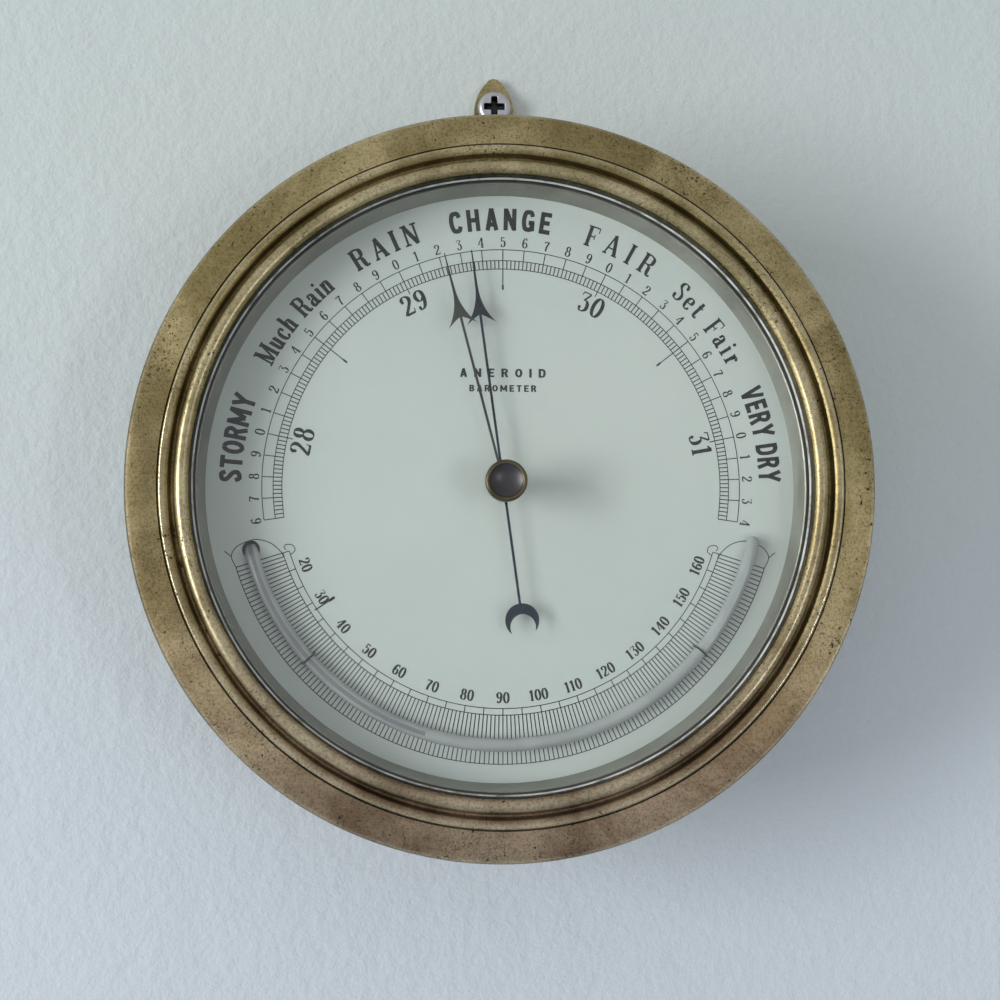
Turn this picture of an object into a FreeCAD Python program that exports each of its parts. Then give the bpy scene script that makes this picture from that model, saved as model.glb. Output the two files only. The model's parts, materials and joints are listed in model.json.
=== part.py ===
"""Brass bulkhead aneroid barometer with a curved thermometer, for hanging on a wall.

Millimetres, +Z up.  The origin is the centre of the back face, which lies on the wall.
The dial looks along -Y.  A "depth" is the distance forward from the wall, so y = -depth.
A "clock" angle runs clockwise from the top as the dial is read.
"""
import FreeCAD, Part
import os
from math import cos, radians, sin
from FreeCAD import Vector

# ---- driving dimensions: case ----
FLANGE_R = 96.0           # about 7 1/2 inches across
DRUM_R = 82.0             # outside of the drum behind the flange
DRUM_WALL = 1.5
BACK_THICK = 2.5
DRUM_DEPTH = 48.0         # front edge of the drum
DIAL_FRONT = 42.0         # depth of the dial's printed face
DIAL_THICK = 1.2
DIAL_R = 79.8
GLASS_R = 80.5
GLASS_BACK = 48.5
GLASS_FRONT = 51.0
VIEW_R = 79.2             # clear opening of the bezel
REHAUT_R = 76.7           # inner edge of the silvered ring, at the dial
EYE_HEIGHT = 113.7        # hanging hole above the centre
EYE_R = 2.6               # clears a No. 10 or 5 mm screw
LUG_THICK = 2.0
LUG_TOP = 123.0

# ---- driving dimensions: scales and hands ----
BARO_DEG_PER_INCH = 51.9
REST_INCHES = 29.35       # what the pressure hand shows at rest
SET_INCHES = 29.22        # what the set hand shows at rest
TOP_INCHES = 29.5         # the value at the top of the dial
THERMO_R = 66.9           # centreline of the thermometer tube
THERMO_DEG_PER_F = 0.968
BOTTOM_F = 90.0           # the value at the bottom of the dial
REST_F = 72.0
TUBE_R = 1.75
HAND_TIP_R = 62.0

# ---- driving dimensions: movement ----
PLATE_R = 58.0
PLATE_FRONT = 5.5
CAPSULE_R = 32.0
CAPSULE_MID = 10.5        # depth of the soldered rim
LEAF_BACK = 19.0          # rear face of the spring's moving leaf
LEAF_THICK = 1.2
SPRING_HALF_WIDTH = 17.0
BEND_Z = -30.0            # height of the spring's bend, about which the lever tips
BEND_DEPTH = 23.5
LINK_Z = 35.0
SHAFT_Z = 40.0            # rocking shaft
SHAFT_DEPTH = 16.0
CRANK = 12.0              # rocking shaft to chain
PULLEY_R = 1.0
CHAIN_X = 1.2
RUNNING = 0.05            # radial clearance of a turning fit

FRONT = Vector(0, -1, 0)
BACK = Vector(0, 1, 0)
CENTRE = Vector(0, 0, 0)


# ---- building blocks ----
def at(x, z, depth):
    return Vector(x, -depth, z)


def polar(radius, clock, depth=0.0):
    """The point at a radius and clock angle on the dial."""
    return at(radius * sin(radians(clock)), radius * cos(radians(clock)), depth)


def rod(radius, depth0, depth1, x=0.0, z=0.0):
    return Part.makeCylinder(radius, depth1 - depth0, at(x, z, depth0), FRONT)


def tube(inner, outer, depth0, depth1, x=0.0, z=0.0):
    return rod(outer, depth0, depth1, x, z).cut(rod(inner, depth0 - 1, depth1 + 1, x, z))


def bar(x0, x1, z0, z1, depth0, depth1):
    return Part.makeBox(x1 - x0, depth1 - depth0, z1 - z0, at(x0, z0, depth1))


def path(start, moves, place):
    """A closed wire: a move of 2 numbers is a line, and one of 4 is an arc through a point."""
    edges, here = [], start
    for move in moves:
        there = move[-2:]
        if len(move) == 2:
            edges.append(Part.makeLine(place(*here), place(*there)))
        else:
            edges.append(Part.Arc(place(*here), place(*move[:2]), place(*there)).toShape())
        here = there
    if here != start:
        edges.append(Part.makeLine(place(*here), place(*start)))
    return Part.Wire(edges)


def turned(start, *moves):
    """A body of revolution about the dial's axis, from an outline in (radius, depth)."""
    wire = path(start, moves, lambda r, depth: Vector(r, -depth, 0))
    return Part.Face(wire).revolve(CENTRE, BACK, 360)


def plate(depth0, depth1, start, *moves):
    """A flat piece from an outline in (x, z)."""
    wire = path(start, moves, lambda x, z: at(x, z, depth0))
    return Part.Face(wire).extrude(FRONT * (depth1 - depth0))


def turn(shape, clock):
    """Turn a shape clockwise about the dial's centre."""
    shape = shape.copy()
    shape.rotate(CENTRE, BACK, clock)
    return shape


def fused(first, *others):
    return first.multiFuse(list(others)).removeSplitter()


def without(shape, *tools):
    return shape.cut(Part.makeCompound(list(tools)))


def cap_middle(radius, rise):
    """A point half way out on a shallow spherical cap, as (radius, height above the rim)."""
    ball = (radius ** 2 + rise ** 2) / (2 * rise)
    return radius / 2, (ball ** 2 - radius ** 2 / 4) ** 0.5 - (ball - rise)


def round_head(radius, depth, height, x=0.0, z=0.0):
    """A slotted cheese head with a broken edge, seen from the front."""
    head = rod(radius, depth, depth + height, x, z)
    rim = [e for e in head.Edges if abs(e.CenterOfMass.y + depth + height) < 1e-6]
    head = head.makeChamfer(0.2 * height, rim)
    slot = 0.14 * radius
    return head.cut(bar(x - slot, x + slot, z - 2 * radius, z + 2 * radius,
                        depth + 0.55 * height, depth + 2 * height))


def screw(x, z, tip, seat, shank_r, head_r, head_h):
    return fused(rod(shank_r, tip, seat, x, z), round_head(head_r, seat, head_h, x, z))


PILLAR_R = 66.0
PILLAR_CLOCKS = (60, 180, 300)
BEZEL_SCREW_CLOCKS = (90, 210, 330)
BEZEL_SCREW_DEPTH = 44.0
PLATE_SCREWS = [(50 * sin(radians(a)), 50 * cos(radians(a))) for a in (45, 165, 285)]
RIVETS = ((-8.0, 66.0), (8.0, 66.0), (0.0, 75.0))
ADJUST_Z = -46.0
LEG_X = (34.0, 40.0)
BEAM_Z = (-28.0, -16.0)
BEAM_DEPTH = (28.0, 33.0)
STRAP_X = 36.0            # pillars of the lower arbor bearing
STRAP_DEPTH = (24.5, 25.7)
COCK_X = 12.0             # pillars of the upper arbor bearing
COCK_DEPTH = (33.0, 34.4)
BRACKET_X = 24.5


# ---- case ----
def lug_outline(depth0, depth1, slack=0.0):
    w = slack
    return plate(depth0, depth1, (-13 - w, 58 - w), (-13 - w, 78), (-8.7 - w, 92, -6.1 - w, 106),
                 (-5.7 - w, 112.5), (-4.95 - w, 117.2, -2.0 - w, 121.9 + w),
                 (0, LUG_TOP + w, 2.0 + w, 121.9 + w), (4.95 + w, 117.2, 5.7 + w, 112.5),
                 (6.1 + w, 106), (8.7 + w, 92, 13 + w, 78), (13 + w, 58 - w))


def hanging_lug():
    lug = lug_outline(0, LUG_THICK)
    return without(lug, rod(EYE_R, -1, 3, 0, EYE_HEIGHT), *[rod(1.5, -1, 3, x, z) for x, z in RIVETS])


def lug_rivets():
    rivets = []
    half, height = cap_middle(2.8, 1.6)
    for x, z in RIVETS:
        dome = turned((0, BACK_THICK), (2.8, BACK_THICK), (half, BACK_THICK + height, 0, BACK_THICK + 1.6))
        dome.translate(Vector(x, 0, z))
        rivets.append(fused(rod(1.5, 0, BACK_THICK, x, z), dome))
    return Part.makeCompound(rivets)


def back_plate():
    disc = rod(DRUM_R, 0, BACK_THICK)
    holes = [rod(1.5, -1, 4, x, z) for x, z in RIVETS]
    holes += [rod(1.6, 1, 4, x, z) for x, z in PLATE_SCREWS]
    return without(disc, lug_outline(-1, LUG_THICK), rod(3.6, -1, 4, 0, ADJUST_Z), *holes)


def radial_rod(radius, clock, r0, r1, depth):
    out = polar(1, clock)
    return Part.makeCylinder(radius, r1 - r0, polar(r0, clock, depth), out)


def case_drum():
    drum = turned((DRUM_R - DRUM_WALL, BACK_THICK), (DRUM_R, BACK_THICK), (DRUM_R, DRUM_DEPTH),
                  (DRUM_R - DRUM_WALL, DRUM_DEPTH))
    return without(drum, *[radial_rod(1.2, a, 70, 90, BEZEL_SCREW_DEPTH) for a in BEZEL_SCREW_CLOCKS])


def bezel():
    skirt = DRUM_R + RUNNING
    ring = turned(
        (skirt, 40.0), (84.2, 40.0), (84.2, 46.6), (84.8, 47.8, 86.2, 48.4),
        (FLANGE_R - 1.3, 48.5), (FLANGE_R, 50.6, FLANGE_R - 0.7, 52.5),
        (91.6, 53.15, 87.6, 53.5), (87.45, 53.0), (87.15, 53.0), (87.15, 54.2),
        (86.8, 54.65, 86.3, 54.7), (84.75, 54.1), (84.5, 52.3), (83.85, 51.5, 83.25, 52.3),
        (83.1, 53.1), (81.2, 55.7, 79.3, 53.1), (VIEW_R, 52.6), (VIEW_R, GLASS_FRONT),
        (GLASS_R + 0.2, GLASS_FRONT), (GLASS_R + 0.2, 48.3), (skirt, 48.3))
    return without(ring, *[radial_rod(1.2, a, 70, 90, BEZEL_SCREW_DEPTH) for a in BEZEL_SCREW_CLOCKS])


def bezel_screws():
    screws = []
    for clock in BEZEL_SCREW_CLOCKS:
        shank = radial_rod(1.2, clock, DRUM_R - DRUM_WALL, 84.2, BEZEL_SCREW_DEPTH)
        head = radial_rod(2.0, clock, 84.2, 85.2, BEZEL_SCREW_DEPTH)
        slot = bar(-0.25, 0.25, 84.8, 86, BEZEL_SCREW_DEPTH - 3, BEZEL_SCREW_DEPTH + 3)
        screws.append(fused(shank, head).cut(turn(slot, clock)))
    return Part.makeCompound(screws)


def glass():
    return rod(GLASS_R, GLASS_BACK, GLASS_FRONT).cut(rod(2.5, 40, 60))


def glazing_fillet():
    return turned((78.4, GLASS_FRONT), (VIEW_R, GLASS_FRONT), (VIEW_R, GLASS_FRONT + 0.7))


def rehaut():
    return turned((REHAUT_R, DIAL_FRONT), (78.3, GLASS_BACK), (80.2, GLASS_BACK), (80.2, 47.7),
                  (79.0, 47.7), (77.7, DIAL_FRONT))


# ---- dial ----
def temperature_clock(fahrenheit):
    return 180 + (BOTTOM_F - fahrenheit) * THERMO_DEG_PER_F


TUBE_START = 102.8                     # clock angle of the tube's closed end
TUBE_BEND = 252.0                      # where the tube starts to dip through the dial
BEND_RADIUS = 4.0
TUBE_DEPTH = DIAL_FRONT + TUBE_R + 0.05
CLIP_CLOCKS = (130.0, 228.0)
CLIP_WIRE = 0.25
CLIP_R = TUBE_R + CLIP_WIRE + 0.03


def bend_frame():
    """The centre, axis and end point of the bend that carries the tube through the dial."""
    centre = polar(THERMO_R, TUBE_BEND, TUBE_DEPTH - BEND_RADIUS)
    along = polar(1, TUBE_BEND + 90)
    return centre, polar(1, TUBE_BEND), centre + along * BEND_RADIUS


def thermometer_path(radius, first_clock, bulb_r, bulb_depth):
    """A round thread along the tube: the arc, the bend, the drop and the bulb behind the dial."""
    centre, axis, foot = bend_frame()
    along = polar(1, first_clock + 90)
    face = Part.Face(Part.Wire(Part.makeCircle(radius, polar(THERMO_R, first_clock, TUBE_DEPTH), along)))
    arc = face.revolve(CENTRE, BACK, TUBE_BEND - first_clock)
    along = polar(1, TUBE_BEND + 90)
    face = Part.Face(Part.Wire(Part.makeCircle(radius, polar(THERMO_R, TUBE_BEND, TUBE_DEPTH), along)))
    bend = face.revolve(centre, axis, 90)
    drop_length = TUBE_DEPTH - BEND_RADIUS - bulb_depth[1] + bulb_r * 0.5
    drop = Part.makeCylinder(radius, drop_length, foot, BACK)
    top = Vector(foot.x, -bulb_depth[1], foot.z)
    bulb = Part.makeCylinder(bulb_r, bulb_depth[1] - bulb_depth[0], top, BACK)
    ends = [Part.makeSphere(bulb_r, Vector(foot.x, -d, foot.z)) for d in bulb_depth]
    return arc, bend, drop, bulb, *ends


def thermometer_tube():
    cap = Part.makeSphere(TUBE_R, polar(THERMO_R, TUBE_START, TUBE_DEPTH))
    outside = fused(cap, *thermometer_path(TUBE_R, TUBE_START, 3.2, (18, 30)))
    bore = fused(*thermometer_path(0.42, TUBE_START + 2, 2.6, (18, 30)))
    return outside.cut(bore)


def mercury_thread():
    return fused(*thermometer_path(0.40, temperature_clock(REST_F), 2.55, (18, 30)))


def dial_plate():
    foot = bend_frame()[2]
    holes = [rod(2.2, 30, 50), Part.makeCylinder(2.3, 20, Vector(foot.x, -50, foot.z), BACK)]
    holes.append(thermometer_path(TUBE_R + 0.12, TUBE_BEND - 5, 3.2, (18, 30))[1])
    for clock in CLIP_CLOCKS:
        for side in (-1, 1):
            holes.append(Part.makeCylinder(CLIP_WIRE, 20, polar(THERMO_R + side * CLIP_R, clock, 50), BACK))
    return without(rod(DIAL_R, DIAL_FRONT - DIAL_THICK, DIAL_FRONT), *holes)


def thermometer_clips():
    clips = []
    for clock in CLIP_CLOCKS:
        legs = []
        for side in (-1, 1):
            start = polar(THERMO_R + side * CLIP_R, clock, TUBE_DEPTH)
            legs.append(Part.makeCylinder(CLIP_WIRE, TUBE_DEPTH - DIAL_FRONT + DIAL_THICK, start, BACK))
        hub = polar(THERMO_R, clock, TUBE_DEPTH)
        start = polar(THERMO_R - CLIP_R, clock, TUBE_DEPTH)
        along = polar(1, clock + 90)
        arch = Part.Face(Part.Wire(Part.makeCircle(CLIP_WIRE, start, BACK))).revolve(hub, along, -180)
        if arch.BoundBox.YMin > -TUBE_DEPTH - 1:
            arch = Part.Face(Part.Wire(Part.makeCircle(CLIP_WIRE, start, BACK))).revolve(hub, along, 180)
        clips.append(fused(arch, *legs))
    return Part.makeCompound(clips)


def dial_pillars():
    pillars = []
    for clock in PILLAR_CLOCKS:
        x, z = polar(PILLAR_R, clock).x, polar(PILLAR_R, clock).z
        post = rod(3.5, BACK_THICK, DIAL_FRONT - DIAL_THICK, x, z)
        side_hole = radial_rod(1.0, clock, PILLAR_R, PILLAR_R + 6, 36)
        pillars.append(without(post, rod(1.25, 32, 50, x, z), side_hole))
    return Part.makeCompound(pillars)


def dial_feet():
    feet = []
    for clock in PILLAR_CLOCKS:
        x, z = polar(PILLAR_R, clock).x, polar(PILLAR_R, clock).z
        feet.append(rod(1.2, 33, DIAL_FRONT - DIAL_THICK, x, z))
    return Part.makeCompound(feet)


def dial_foot_screws():
    screws = []
    for clock in PILLAR_CLOCKS:
        shank = radial_rod(1.0, clock, PILLAR_R + 1.25, PILLAR_R + 3.5, 36)
        head = radial_rod(1.8, clock, PILLAR_R + 3.5, PILLAR_R + 5.0, 36)
        screws.append(fused(shank, head))
    return Part.makeCompound(screws)


# ---- set hand and its knob ----
SPINDLE_R = 1.5


def glass_bush():
    bore = SPINDLE_R + RUNNING
    return turned((bore, GLASS_BACK), (2.4, GLASS_BACK), (2.4, GLASS_FRONT), (3.6, GLASS_FRONT),
                  (3.6, GLASS_FRONT + 0.6), (3.3, GLASS_FRONT + 0.9), (bore, GLASS_FRONT + 0.9))


def bush_nut():
    nut = rod(3.7, GLASS_BACK - 0.8, GLASS_BACK).cut(rod(SPINDLE_R + RUNNING, 40, 60))
    notches = [bar(-0.4, 0.4, 2.9, 4, 40, 60), bar(-0.4, 0.4, -4, -2.9, 40, 60)]
    return without(nut, *notches)


def set_knob():
    half, drop = cap_middle(3.6, 0.9)
    body = turned((0, 54.5), (SPINDLE_R, 54.5), (SPINDLE_R, 52.0), (4.0, 52.0), (4.9, 52.4),
                  (5.25, 53.2), (5.25, 56.4), (5.1, 57.2, 4.5, 57.5), (3.9, 57.3, 3.6, 56.8),
                  (half, 56.8 - drop, 0, 55.9))
    flute = rod(0.22, 50, 56.3, 0, 5.35)
    flutes = [turn(flute, 360 * i / 36) for i in range(36)]
    return without(body, *flutes)


def set_spindle():
    return rod(SPINDLE_R, 46.5, 54.5)


def hand_blade(depth0, depth1):
    """The needle and barbed arrow head shared by both hands, pointing up."""
    return plate(depth0, depth1, (-0.35, 0), (-0.27, 44.7), (-1.75, 43.9, -3.9, 42.3),
                 (-1.15, 47.3, -0.36, 52.0), (-0.12, HAND_TIP_R), (0.12, HAND_TIP_R), (0.36, 52.0),
                 (1.15, 47.3, 3.9, 42.3), (1.75, 43.9, 0.27, 44.7), (0.35, 0))


def set_hand():
    blade = fused(hand_blade(46.7, 47.05), rod(2.6, 46.7, 47.05))
    blade = blade.cut(rod(SPINDLE_R, 40, 60))
    return turn(blade, (SET_INCHES - TOP_INCHES) * BARO_DEG_PER_INCH)


# ---- pressure hand and its arbor ----
ARBOR_R = 0.9


def rest_turn(shape):
    return turn(shape, (REST_INCHES - TOP_INCHES) * BARO_DEG_PER_INCH)


def pressure_hand():
    tail = plate(44.8, 45.15, (-0.35, 0), (-0.3, -32), (0.3, -32), (0.35, 0))
    moon = rod(4.4, 44.8, 45.15, 0, -35.4).cut(rod(3.3, 40, 50, 0, -37.05))
    blade = fused(hand_blade(44.8, 45.15), tail, moon, rod(2.2, 44.8, 45.15))
    return rest_turn(blade.cut(rod(ARBOR_R, 40, 60)))


def hand_collet():
    return turned((ARBOR_R, 43.0), (1.4, 43.0), (1.8, 43.4), (1.8, 44.8), (ARBOR_R, 44.8))


def pointer_arbor():
    return turned((0, STRAP_DEPTH[0] + 0.1), (0.5, STRAP_DEPTH[0] + 0.1), (0.5, 26.0), (ARBOR_R, 26.0),
                  (ARBOR_R, 45.3), (0.6, 45.5), (0, 45.5))


def arbor_pulley():
    return turned((ARBOR_R, 26.9), (1.8, 26.9), (1.8, 27.2), (PULLEY_R, 27.4), (PULLEY_R, 28.6),
                  (1.8, 28.8), (1.8, 29.1), (ARBOR_R, 29.1))


def hairspring_collet():
    return tube(ARBOR_R, 1.6, 30.4, 31.6)


def spiral(first_r, pitch, half_turns, thick, depth0, depth1):
    """A flat spiral of half rings; each half turn is centred so that it meets the one before.

    Returns the spring and the x of its outer end, which lies on the level of the centre.
    """
    parts, radius, centre, side = [], first_r, 0.0, 1
    for _ in range(half_turns):
        ring = tube(radius - thick / 2, radius + thick / 2, depth0, depth1, centre, 0)
        half = bar(-99, 99, 0, 99, 0, 99) if side > 0 else bar(-99, 99, -99, 0, 0, 99)
        parts.append(ring.common(half))
        end_x = centre + side * radius
        centre -= side * pitch / 4
        radius += pitch / 4
        side = -side
    return fused(*parts), end_x


def hairspring():
    return spiral(1.75, 1.1, 11, 0.2, 30.6, 31.4)[0]


def hairspring_end_x():
    return spiral(1.75, 1.1, 11, 0.2, 30.6, 31.4)[1]


def chain():
    run = bar(CHAIN_X - 0.2, CHAIN_X + 0.2, 0, SHAFT_Z - 1.4, 27.75, 28.25)
    wrap = tube(PULLEY_R + 0.02, PULLEY_R + 0.4, 27.75, 28.25)
    wrap = wrap.cut(bar(0, 3, 0, 3, 20, 40))
    return fused(run, wrap)


# ---- capsule, spring and lever ----
def diaphragm(side):
    """One corrugated half of the capsule: side is +1 for the front half and -1 for the back."""
    def place(offset):
        return CAPSULE_MID + side * offset

    crown, thick, waves, inner, outer = 2.7, 0.35, 8, 7.0, 28.6
    step = (outer - inner) / waves
    front, rear = [], []
    for i in range(waves):
        bulge = 0.45 if i % 2 == 0 else -0.45
        mid, end = inner + (i + 0.5) * step, inner + (i + 1) * step
        front.append((mid, place(crown + bulge), end, place(crown)))
        mid, end = outer - (i + 0.5) * step, outer - (i + 1) * step
        rear.append((mid, place(crown - bulge - thick), end, place(crown - thick)))
    return turned((0, place(3.2)), (6.6, place(3.2)), (inner, place(crown)), *front,
                  (30.4, place(0.4)), (CAPSULE_R, place(0.4)), (CAPSULE_R, place(0)),
                  (30.0, place(0)), (outer, place(crown - thick)), *rear,
                  (6.4, place(2.7)), (0, place(2.7)))


def capsule_back():
    return diaphragm(-1)


def capsule_front():
    return diaphragm(1)


def capsule_foot():
    return fused(rod(2.5, 2.6, PLATE_FRONT), rod(5.0, PLATE_FRONT, CAPSULE_MID - 3.2))


STUD_TOP = 22.6
KNIFE_DEPTH = (LEAF_BACK + LEAF_THICK + 0.02, 21.9)


def capsule_stud():
    post = turned((0, CAPSULE_MID + 3.2), (4.5, CAPSULE_MID + 3.2), (4.5, 14.9), (2.4, 15.6),
                  (2.4, STUD_TOP - 0.4), (2.0, STUD_TOP), (0, STUD_TOP))
    return post.cut(bar(-5, 5, -0.9, 0.9, KNIFE_DEPTH[0], KNIFE_DEPTH[1]))


def knife_edge():
    wire = path((-0.9, 21.9), [(0.9, 21.9), (0.9, 21.0), (0, KNIFE_DEPTH[0]), (-0.9, 21.0)],
                lambda z, depth: at(-9, z, depth))
    return Part.Face(wire).extrude(Vector(18, 0, 0))


def main_spring():
    low, high = LEAF_BACK, LEAF_BACK + LEAF_THICK
    top_low, top_high = BEAM_DEPTH[0] - LEAF_THICK, BEAM_DEPTH[0]
    outer = (top_high - low) / 2
    mid = (top_high + low) / 2
    wire = path((12, low), [(BEND_Z, low), (BEND_Z - outer, mid, BEND_Z, top_high), (BEAM_Z[1], top_high),
                            (BEAM_Z[1], top_low), (BEND_Z, top_low),
                            (BEND_Z - outer + LEAF_THICK, mid, BEND_Z, high), (12, high)],
                lambda z, depth: at(-SPRING_HALF_WIDTH, z, depth))
    leaf = Part.Face(wire).extrude(Vector(2 * SPRING_HALF_WIDTH, 0, 0))
    holes = [rod(2.8, 15, 22), rod(1.0, 15, 22, -4, 9), rod(1.0, 15, 22, 4, 9)]
    holes += [rod(1.5, 24, 30, x, -22) for x in (-11, 11)]
    return without(leaf, *holes)


def bridge():
    beam = bar(-LEG_X[1], LEG_X[1], *BEAM_Z, *BEAM_DEPTH)
    legs = [bar(s * 37 - 3, s * 37 + 3, *BEAM_Z, PLATE_FRONT, BEAM_DEPTH[1]) for s in (-1, 1)]
    feet = [bar(s * 37 - 3, s * 37 + 3, BEAM_Z[0] - 6, BEAM_Z[1] + 6, PLATE_FRONT, 8.5) for s in (-1, 1)]
    tail = fused(bar(-5, 5, ADJUST_Z, BEAM_Z[0], 28.5, 32.5), rod(5, 28.5, 32.5, 0, ADJUST_Z))
    holes = [rod(1.5, 24, 40, x, -22) for x in (-11, 11)]
    holes += [rod(1.4, 3, 12, s * 37, z) for s in (-1, 1) for z in (BEAM_Z[0] - 3, BEAM_Z[1] + 3)]
    return without(fused(beam, *legs, *feet, tail), rod(2.0 + RUNNING, 20, 40, 0, ADJUST_Z), *holes)


def bridge_screws():
    return Part.makeCompound([screw(s * 37, z, 3.5, 8.5, 1.4, 2.4, 1.5)
                              for s in (-1, 1) for z in (BEAM_Z[0] - 3, BEAM_Z[1] + 3)])


def spring_screws():
    return Part.makeCompound([screw(x, -22, BEAM_DEPTH[0] - LEAF_THICK, BEAM_DEPTH[1], 1.5, 2.7, 1.6)
                              for x in (-11, 11)])


LEVER_DEPTH = (LEAF_BACK + LEAF_THICK, LEAF_BACK + LEAF_THICK + 1.6)


def main_lever():
    lever = plate(*LEVER_DEPTH, (-7, 6), (-7, 12), (-2.6, 16), (-2.0, LINK_Z), (0, LINK_Z + 2, 2.0, LINK_Z),
                  (2.6, 16), (7, 12), (7, 6))
    return without(lever, rod(0.8, 10, 30, 0, LINK_Z), *[rod(1.0, 15, 30, x, 9) for x in (-4, 4)])


def lever_screws():
    return Part.makeCompound([screw(x, 9, LEAF_BACK, LEVER_DEPTH[1], 1.0, 1.9, 1.1) for x in (-4, 4)])


def link_rod():
    rod_parts = [rod(1.2, 13.9, 14.9, 0, LINK_Z), rod(0.5, 14.9, 17.2, 0, LINK_Z),
                 rod(0.72, 17.2, LEVER_DEPTH[1] + 0.06, 0, LINK_Z),
                 rod(1.3, LEVER_DEPTH[1] + 0.06, 22.8, 0, LINK_Z)]
    return fused(*rod_parts)


def cross_rod(radius, x0, x1):
    return Part.makeCylinder(radius, x1 - x0, at(x0, SHAFT_Z, SHAFT_DEPTH), Vector(1, 0, 0))


def rocking_shaft():
    half = BRACKET_X - 2.3
    return fused(cross_rod(1.5, -half, half), cross_rod(0.6, -BRACKET_X - 2, BRACKET_X + 2))


def on_shaft(shape):
    return shape.cut(cross_rod(1.5, -10, 10))


def link_arm():
    arm = fused(bar(-1.8, 1.8, LINK_Z - 1.8, SHAFT_Z, 15.2, 16.8), cross_rod(2.6, -1.8, 1.8))
    return without(on_shaft(arm), rod(0.75, 10, 20, 0, LINK_Z))


def crank_arm():
    x0, x1 = CHAIN_X + 0.9, CHAIN_X + 2.3
    arm = bar(x0, x1, SHAFT_Z - 1.1, SHAFT_Z + 1.1, SHAFT_DEPTH, SHAFT_DEPTH + CRANK + 0.8)
    hub = cross_rod(2.6, x0, x0 + 3.0)
    pin = Part.makeCylinder(0.35, 1.6, at(CHAIN_X - 0.5, SHAFT_Z, SHAFT_DEPTH + CRANK), Vector(1, 0, 0))
    return on_shaft(fused(arm, hub, pin))


def shaft_brackets():
    brackets = []
    for side in (-1, 1):
        x = side * BRACKET_X
        foot_end = x + side * 7
        post = bar(x - 2, x + 2, SHAFT_Z - 3, SHAFT_Z + 3, PLATE_FRONT, SHAFT_DEPTH + 3)
        foot = bar(min(x, foot_end), max(x, foot_end), SHAFT_Z - 3, SHAFT_Z + 3, PLATE_FRONT, PLATE_FRONT + 2)
        bore = Part.makeCylinder(0.6 + RUNNING, 8, at(x - 4, SHAFT_Z, SHAFT_DEPTH), Vector(1, 0, 0))
        brackets.append(without(fused(post, foot), bore, rod(1.2, 3, 10, x + side * 4.8, SHAFT_Z)))
    return Part.makeCompound(brackets)


def bracket_screws():
    return Part.makeCompound([screw(s * (BRACKET_X + 4.8), SHAFT_Z, 3.5, PLATE_FRONT + 2, 1.2, 1.9, 1.2)
                              for s in (-1, 1)])


# ---- arbor bearings and plate ----
def arbor_strap():
    strap = plate(*STRAP_DEPTH, (-STRAP_X, -4.5), (STRAP_X, -4.5), (STRAP_X + 4.5, 0, STRAP_X, 4.5),
                  (-STRAP_X, 4.5), (-STRAP_X - 4.5, 0, -STRAP_X, -4.5))
    holes = [rod(1.2, 20, 30, s * STRAP_X, 0) for s in (-1, 1)]
    holes += [rod(0.9, 20, 30, s * COCK_X, 0) for s in (-1, 1)]
    return without(strap, rod(0.5 + RUNNING, 20, 30), *holes)


def strap_pillars():
    posts = []
    for side in (-1, 1):
        post = rod(3.2, PLATE_FRONT, STRAP_DEPTH[0], side * STRAP_X, 0)
        tenon = rod(2.0, 3.0, PLATE_FRONT, side * STRAP_X, 0)
        posts.append(fused(post, tenon).cut(rod(1.2, 20, 30, side * STRAP_X, 0)))
    return Part.makeCompound(posts)


def strap_screws():
    return Part.makeCompound([screw(s * STRAP_X, 0, 20.5, STRAP_DEPTH[1], 1.2, 2.2, 1.2) for s in (-1, 1)])


def cock_pillars():
    posts = []
    for side in (-1, 1):
        post = rod(1.8, STRAP_DEPTH[1], COCK_DEPTH[0], side * COCK_X, 0)
        tenon = rod(0.9, STRAP_DEPTH[0], STRAP_DEPTH[1], side * COCK_X, 0)
        posts.append(fused(post, tenon).cut(rod(0.8, 29, 40, side * COCK_X, 0)))
    return Part.makeCompound(posts)


def arbor_cock():
    cock = plate(*COCK_DEPTH, (-COCK_X, -3), (-3, -3), (0, -4.2, 3, -3), (COCK_X, -3),
                 (COCK_X + 3, 0, COCK_X, 3), (3, 3), (0, 4.2, -3, 3), (-COCK_X, 3), (-COCK_X - 3, 0, -COCK_X, -3))
    holes = [rod(0.8, 30, 40, s * COCK_X, 0) for s in (-1, 1)]
    return without(cock, rod(ARBOR_R + RUNNING, 30, 40), rod(0.6, 30, 40, hairspring_end_x(), 0), *holes)


def cock_screws():
    return Part.makeCompound([screw(s * COCK_X, 0, 29.5, COCK_DEPTH[1], 0.8, 1.7, 1.0) for s in (-1, 1)])


def hairspring_stud():
    x = hairspring_end_x()
    stud = fused(rod(0.6, 30.4, COCK_DEPTH[1] + 0.3, x, 0), rod(1.0, 31.6, COCK_DEPTH[0], x, 0))
    return stud.cut(hairspring())


def base_plate():
    holes = [rod(1.6, 0, 9, x, z) for x, z in PLATE_SCREWS]
    holes += [rod(1.4, 3.5, 9, s * 37, z) for s in (-1, 1) for z in (BEAM_Z[0] - 3, BEAM_Z[1] + 3)]
    holes += [rod(1.2, 3.5, 9, s * (BRACKET_X + 4.8), SHAFT_Z) for s in (-1, 1)]
    holes += [rod(2.0, 3.0, 9, s * STRAP_X, 0) for s in (-1, 1)]
    holes += [rod(2.5, 2.6, 9), rod(2.0 + RUNNING, 0, 9, 0, ADJUST_Z)]
    return without(rod(PLATE_R, BACK_THICK, PLATE_FRONT), *holes)


def plate_screws():
    return Part.makeCompound([screw(x, z, 1.2, PLATE_FRONT, 1.6, 2.8, 1.6) for x, z in PLATE_SCREWS])


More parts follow.
